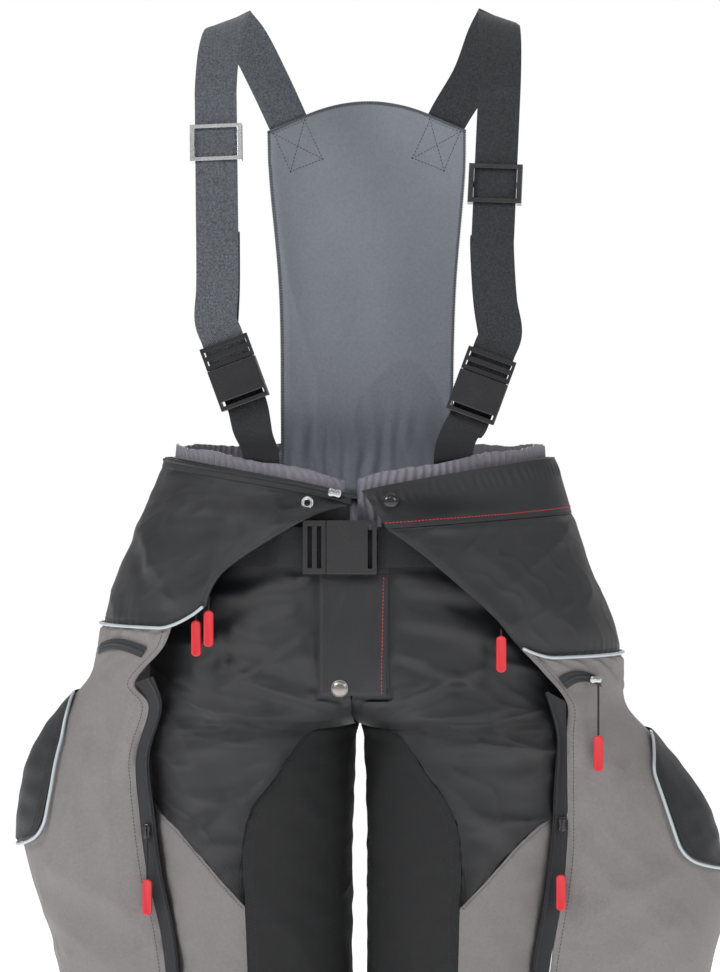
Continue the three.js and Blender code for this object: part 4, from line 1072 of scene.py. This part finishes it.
def webbing_ribs(p, across, down, edge):
    return 0.1 * np.sin(across * 2 * math.pi / 2.7) * np.clip(edge / 2, 0, 1)


def strap(name, at, rows, thick, material, *nodes):
    mesh = cloth_mesh(name, at, 56, rows, thick, webbing_ribs, pinch=0.3, rim=0.8)
    show(name, mesh, material, "webbing", "trousers", *nodes)


TILT = math.radians(20.2)
WEB_WIDTH, WEB_THICK = 38, 1.8
for hand, side, shift, socket_foot in (
    ("left", -1, 0, (-93, -120, 68)), ("right", 1, 8, (107, -120, 56)),
):
    # The left brace takes the lighter webbing with painted light in it; the right brace takes the
    # plain darker one.
    brace_webbing_lit_on_left = LIT_LEFT_WEBBING if hand == "left" else RIGHT_WEBBING
    level, tilted = (1, 0, 0), (math.cos(TILT), 0, -side * math.sin(TILT))

    def out_x(x, side=side, shift=shift):
        return side * (x + shift)

    def on_axis(height, behind=0.0, side=side, foot=socket_foot):
        along = side * height * math.sin(TILT)
        return (foot[0] + along, foot[1] + behind, foot[2] + height * math.cos(TILT))

    def behind_bib(x, z):
        return float(bib_depth(z)) - x * x / 542 + 2

    rear = [
        ((side * 57, behind_bib(57, 295), 295), (0.9, -side * 0.17, -side * 0.4)),
        ((side * 75, behind_bib(75, 337), 337), (0.9, -side * 0.17, -side * 0.4)),
        ((out_x(92), 68, 376), (0.92, -side * 0.1, -side * 0.38)),
        ((out_x(108), 34, 410), (0.93, 0, -side * 0.36)),
        ((out_x(119), 1, 425), (0.93, 0, -side * 0.36)),
    ]
    strap(f"{hand}_rear_brace", ribbon(rear, WEB_WIDTH, WEB_THICK), 90, WEB_THICK, brace_webbing_lit_on_left,
          f"{hand}_rear_strap")
    top, foot = np.array([out_x(124), -86, 350.0]), np.array([out_x(119), -116, 210.0])
    bend = list(on_axis(109, 3.4))
    bend[0] = out_x(119) + (3 if hand == "right" else 0)
    front = [
        ((out_x(119), -1, 425), (0.93, 0, -side * 0.36)),
        ((out_x(122), -34, 414), (0.97, 0, -side * 0.2)),
        ((out_x(124), -64, 386), level), (top, level), (mixed(top, foot, 0.06), level),
        (mixed(top, foot, 0.94), level), (foot, level), (bend, level), (on_axis(79, 3.4), tilted),
        (on_axis(64, 3.4), tilted), (on_axis(41, 3.4), tilted),
    ]
    strap(f"{hand}_front_brace", ribbon(front, WEB_WIDTH, WEB_THICK), 240, WEB_THICK, brace_webbing_lit_on_left,
          f"{hand}_front_strap")
    below_slider = 0.92 if hand == "left" else 0.95
    doubled = [(mixed(top, foot, below_slider), level), (foot, level),
               (bend, level), (on_axis(79, 3.4), tilted)]
    doubled = [(np.array(p) + (-side * 1.6, 2.1, 0), a) for p, a in doubled]
    strap(f"{hand}_brace_tail", ribbon(doubled, 37, 1.6), 110, 1.6, RIGHT_WEBBING)

    hem_x = side * (83 + shift)
    curve, into = side * 0.33, -85.6 + shift / 1.6
    tab = [
        (on_axis(15, 6.6), tilted), (on_axis(3, 6.6), tilted), (on_axis(-5, 4), tilted),
        ((mixed(socket_foot[0], hem_x, 0.55), -111, 42), (0.94, curve / 2, 0)),
        ((hem_x, -92 + shift / 3, 24), (0.94, curve, 0)), ((hem_x, into, 4), (0.94, curve, 0)),
        ((hem_x, into, -16), (0.94, curve, 0)),
    ]
    strap(f"{hand}_lower_tab", ribbon(tab, 36, WEB_THICK), 70, WEB_THICK, BELT_WEBBING,
          f"{hand}_strap_tab")

    start = -23.0 if hand == "left" else 25.4
    belt = [((start + side * far, -122.2, -60), (0, 0, 1)) for far in
            ((0, 4, 34, 38) if hand == "left" else (0, 8))]
    belt += [(skin(side, angle, -60.0, 3.5), (0, 0, 1)) for angle in (62, 50, 38, 26)]
    at = ribbon(belt, 36, 2, front=side)
    strap(f"{hand}_belt_webbing", at, 130, 2, BELT_WEBBING, f"{hand}_belt")

# Buckles, sliders and snaps. Side-release buckles of glossy black plastic, a bright wire slider
# on the left brace and a plastic one on the right, domed snap caps and a bright ring snap.
HARD = {
    "belt_socket": BLACK_PLASTIC, "belt_plug": BLACK_PLASTIC, "left_strap_socket": BLACK_PLASTIC,
    "left_strap_plug": BLACK_PLASTIC, "right_strap_socket": BLACK_PLASTIC,
    "right_strap_plug": BLACK_PLASTIC, "right_strap_slider": BLACK_PLASTIC,
    "left_strap_slider": BRIGHT_METAL,
}
for node, material in HARD.items():
    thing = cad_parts[node]
    for index in range(max(1, len(thing.material_slots))):
        if not thing.material_slots:
            thing.data.materials.append(material)
        thing.material_slots[index].link = "OBJECT"
        thing.material_slots[index].material = material
    weld = thing.modifiers.new("joined_corners", "WELD")
    weld.merge_threshold = 0.00002
    soft_edge = thing.modifiers.new("moulded_edges", "BEVEL")
    soft_edge.width = 0.0007
    soft_edge.segments = 2
    soft_edge.limit_method = "ANGLE"
    soft_edge.angle_limit = math.radians(34)


def turned(name, outline, centre, axis, sides=40):
    """Turned or pressed piece: outline is (radius, height) in mm along its axis, top first."""
    axis = np.array(axis, float) / np.linalg.norm(axis)
    one = np.cross(axis, (0, 0, 1))
    one /= np.linalg.norm(one)
    two = np.cross(axis, one)
    turn = np.linspace(0, 2 * math.pi, sides, endpoint=False)
    rings = [
        np.array(centre) + axis * h
        + r * (np.outer(np.cos(turn), one) + np.outer(np.sin(turn), two))
        for r, h in outline
    ]
    closed_up = outline[0] == outline[-1]
    mesh = over_rings(name, rings[:-1] if closed_up else rings, closed_up)
    mesh.set_sharp_from_angle(angle=math.radians(50))
    return mesh


def middle_of(node):
    low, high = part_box(node)
    return (np.array(low) + np.array(high)) * 500


DOME = [(0.4, 1), (2.4, 0.97), (4.4, 0.86), (5.8, 0.68), (6.6, 0.5), (6.9, 0.42), (7.3, 0.45),
        (7.8, 0.36), (8, 0.2), (7.9, 0)]
band_out = shell("right", 79.0, -20.0, 10.0) - shell("right", 79.0, -20.0)
for name, node, material, slot_name, axis, height, body in (
    ("fly_snap", "fly_snap_cap", NICKEL, "metal", (0, -1, 0.02), 4, "fly"),
    ("waist_snap", "waist_snap_cap", BLACK_PLASTIC, "plastic", band_out, 5, "trousers"),
):
    axis = np.array(axis, float) / np.linalg.norm(axis)
    base = middle_of(node) - axis * height / 2
    mesh = turned(name, [(r, h * height) for r, h in DOME], base, axis)
    show(name, mesh, material, slot_name, body, node)
ring_outline = [(2.6, -0.7), (2.9, 0.6), (3.4, 1), (4.4, 0.7), (5.2, 1), (5.8, 0.6), (6, -0.4),
                (5.7, -1), (2.9, -1), (2.6, -0.7)]
mesh = turned("ring_snap", ring_outline, middle_of("waist_snap_socket"), (-0.25, -1, 0.05))
show("ring_snap", mesh, BRIGHT_METAL, "metal", "trousers", "waist_snap_socket")


def zip_slider(name, node, along, out, size, material, slot_name, body):
    """Zip slider: a waisted plate that runs along the coil, with a bridge arched over it."""
    along, out = (np.array(v, float) / np.linalg.norm(v) for v in (along, out))
    out = out - along * (out @ along)
    out /= np.linalg.norm(out)
    wide = np.cross(along, out)
    centre = middle_of(node)
    length, width, height = size
    rings = []
    turn = np.linspace(0, 2 * math.pi, 20, endpoint=False)
    for t in np.linspace(-1, 1, 13):
        swell = (1 - 0.22 * math.exp(-((t * 2.2) ** 2))) * (1 - 0.5 * abs(t) ** 6)
        c, s = np.cos(turn), np.sin(turn)
        box_x = np.sign(c) * np.abs(c) ** 0.5 * width / 2 * swell
        box_y = np.sign(s) * np.abs(s) ** 0.5 * height * 0.3 * (1 - 0.35 * abs(t) ** 6)
        rings.append(centre + along * t * length / 2 + np.outer(box_x, wide)
                     + np.outer(box_y - height * 0.18, out))
    show(name, over_rings(name, rings), material, slot_name, body, node)
    arch = np.linspace(-1, 1, 17)[:, None]
    path = centre + along * arch * length * 0.32 + out * height * (0.08 + 0.36 * (1 - arch**4))
    show(f"{name}_bridge", tube(f"{name}_bridge", path, 0.75, 8), material, slot_name, body)


def outward(hand, angle, z):
    return shell(hand, angle, z, 10.0) - shell(hand, angle, z)


for name, node, along, out, size, material, slot_name, body in (
    ("left_zip_slider", "left_side_slider", (0, 0, 1), outward("left", 77.0, -322.0),
     (14, 7, 4.4), BLACK_PLASTIC, "plastic", "left_zip_car"),
    ("right_zip_slider", "right_side_slider", (0, 0, 1), outward("right", 79.0, -312.0),
     (14, 7, 4.4), BLACK_PLASTIC, "plastic", "right_zip_car"),
    ("pocket_zip_slider", "right_pocket_slider", (0.75, 0.66, 0), outward("right", 33.0, -180.0),
     (13, 7, 4.4), BRIGHT_METAL, "metal", "pocket_car"),
    ("waist_slider", "waist_zip_slider", (-0.98, 0.12, 0.16), outward("left", 86.0, -17.0),
     (12, 8, 4), BRIGHT_METAL, "metal", "waist_zip_car"),
):
    zip_slider(name, node, along, out, size, material, slot_name, body)

# Pullers. Plain red rubber grips moulded on thin black cords: one on each side zip, one on the
# pocket zip, and three at the tops of the side zips just inside the yokes' free edges.
SHORTEST_DECLARED = 30


def grip(name, top):
    """Slab 10 wide, 33 long and 4 thick, its faces a little hollow; top is its upper end."""
    turn = np.linspace(0, 2 * math.pi, 36, endpoint=False)
    rings = []
    for y, shrink in ((-1.35, 3.0), (-1.6, 2.3), (-2, 1.5), (-1.8, 0.7), (-1.1, 0.15), (0, 0),
                      (1.1, 0.15), (1.8, 0.7), (2, 1.5), (1.6, 2.3), (1.35, 3.0)):
        r = 5 - shrink
        waist = 1 - 0.1 * np.exp(-((np.sin(turn) / 0.4) ** 2))
        x = r * np.cos(turn) * waist
        z = r * np.sin(turn) + np.clip(np.sin(turn) * 6, -1, 1) * 11.5
        rings.append(point(top[0] + x, top[1] + y, top[2] - 16.5 + z))
    return over_rings(name, rings)


for name, node, body, length in (
    ("left_side", "left_side_pull", "left_zip_pull", 38),
    ("right_side", "right_side_pull", "right_zip_pull", 40),
    ("pocket", "right_pocket_pull", "pocket_pull", 46),
    ("left_hip_outer", "left_hip_pull_outer", "hip_pull_a", 14),
    ("left_hip_inner", "left_hip_pull_inner", "hip_pull_b", 14),
    ("right_hip", "right_hip_pull", "hip_pull_c", 6),
):
    low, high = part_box(node)
    top = ((low[0] + high[0]) * 500, (low[1] + high[1]) * 500, high[2] * 1000)
    mesh = grip(f"{name}_grip", (top[0], top[1], top[2] - length))
    rubber = show(f"{name}_grip", mesh, RED_RUBBER, "red_rubber", body, node)
    path = [(top[0], top[1], top[2] - 0.8 - t * (length - 0.4)) for t in np.linspace(0, 1, 24)]
    cord = show(f"{name}_cord", tube(f"{name}_cord", path, 0.95), BLACK_CORD, "webbing", body)
    if length > SHORTEST_DECLARED:
        metres = [tuple(c * 0.001 for c in p) for p in path]

# Sewing and zip coils. Rows of thread stitches along the seams, red ones on the right band and
# the fly's edge, slanted overlocking round the bib, and the coils' turns on their tapes.
runs = bpy.data.node_groups.new("thread_run", "GeometryNodeTree")
runs.interface.new_socket("Path", in_out="INPUT", socket_type="NodeSocketGeometry")
for label in ("Pitch", "Length", "Width", "Height"):
    runs.interface.new_socket(label, in_out="INPUT", socket_type="NodeSocketFloat")
runs.interface.new_socket("Finish", in_out="INPUT", socket_type="NodeSocketMaterial")
runs.interface.new_socket("Row", in_out="OUTPUT", socket_type="NodeSocketGeometry")


def step(kind, links=None, output=None, **settings):
    made = runs.nodes.new(kind)
    for key, value in settings.items():
        setattr(made, key, value)
    for key, value in (links or {}).items():
        if isinstance(value, bpy.types.NodeSocket):
            runs.links.new(value, made.inputs[key])
        else:
            made.inputs[key].default_value = value
    return made.outputs[output] if output is not None else made


given = step("NodeGroupInput")
line = step("GeometryNodeMeshToCurve", {"Mesh": given.outputs["Path"]}, "Curve")
line = step("GeometryNodeResampleCurve", {"Curve": line, "Length": given.outputs["Pitch"]}, "Curve",
            mode="LENGTH")
way = step("GeometryNodeInputTangent", output="Tangent")
up = step("GeometryNodeInputNamedAttribute", {"Name": "up"}, "Attribute", data_type="FLOAT_VECTOR")
turn = step("FunctionNodeAlignRotationToVector", {"Vector": way}, "Rotation", axis="X")
turn = step("FunctionNodeAlignRotationToVector", {"Rotation": turn, "Vector": up}, "Rotation",
            axis="Z", pivot_axis="X")
size = step("ShaderNodeCombineXYZ", {"X": given.outputs["Length"], "Y": given.outputs["Width"],
                                     "Z": given.outputs["Height"]}, "Vector")
bead = step("GeometryNodeMeshIcoSphere", {"Radius": 0.5, "Subdivisions": 1}, "Mesh")
row = step("GeometryNodeInstanceOnPoints",
           {"Points": line, "Instance": bead, "Rotation": turn, "Scale": size}, "Instances")
row = step("GeometryNodeRealizeInstances", {"Geometry": row}, "Geometry")
row = step("GeometryNodeSetMaterial", {"Geometry": row, "Material": given.outputs["Finish"]},
           "Geometry")
step("NodeGroupOutput", {"Row": row})


def thread_row(name, paths, pitch, size, material, slot_name, body):
    """Runs of stitches, or of a coil's turns, along (points, ups) paths, as one plain mesh."""
    points = np.concatenate([p for p, _ in paths])
    ups = np.concatenate([n for _, n in paths]).astype(np.float32)
    edges, first = [], 0
    for p, _ in paths:
        edges += [(first + i, first + i + 1) for i in range(len(p) - 1)]
        first += len(p)
    guide = bpy.data.meshes.new(f"{name}_line")
    guide.from_pydata(points.tolist(), edges, [])
    guide.attributes.new("up", "FLOAT_VECTOR", "POINT").data.foreach_set("vector", ups.ravel())
    holder = bpy.data.objects.new(f"{name}_line", guide)
    bpy.context.scene.collection.objects.link(holder)
    made = holder.modifiers.new("sewing", "NODES")
    made.node_group = runs
    given_values = dict(zip(("Length", "Width", "Height"), size), Pitch=pitch, Finish=material)
    for socket in runs.interface.items_tree:
        if socket.name in given_values:
            made[socket.identifier] = given_values[socket.name]
    bpy.context.view_layer.update()
    sewn = holder.evaluated_get(bpy.context.evaluated_depsgraph_get())
    mesh = bpy.data.meshes.new_from_object(sewn)
    bpy.data.objects.remove(holder)
    mesh.name = name
    mesh.shade_smooth()
    show(name, mesh, material, slot_name, body)


STITCH_PITCH = 0.0033
STITCH = (0.0026, 0.0008, 0.0007)
BOLD_STITCH = (0.0029, 0.0013, 0.0010)
COIL_TURN = (0.001, 0.0034, 0.0016)
for thread, name, size, material, slot_name, body in (
    ("trousers", "trouser_stitches", STITCH, THREAD, "nylon", "trousers"),
    ("fly", "fly_stitches", STITCH, THREAD, "nylon", "fly"),
    ("red", "red_band_stitches", BOLD_STITCH, RED_THREAD, "red_rubber", "trousers"),
    ("red_fly", "red_fly_stitches", BOLD_STITCH, RED_THREAD, "red_rubber", "fly"),
):
    thread_row(name, stitches[thread], STITCH_PITCH, size, material, slot_name, body)
thread_row("bib_overlock", overlock, 0.0015, (0.001, 0.0042, 0.0011), THREAD, "bib", "trousers")
thread_row("waist_zip_coil", coils["trousers"], 0.0013, COIL_TURN, COIL, "patch", "trousers")
for hand in ("left", "right"):
    body = f"{hand}_outer"
    thread_row(f"{body}_stitches", stitches[body], STITCH_PITCH, STITCH, THREAD, "grey_shell", body)
    thread_row(f"{hand}_zip_coil", coils[body], 0.0014, COIL_TURN, COIL, "patch", body)

bpy.context.view_layer.update()
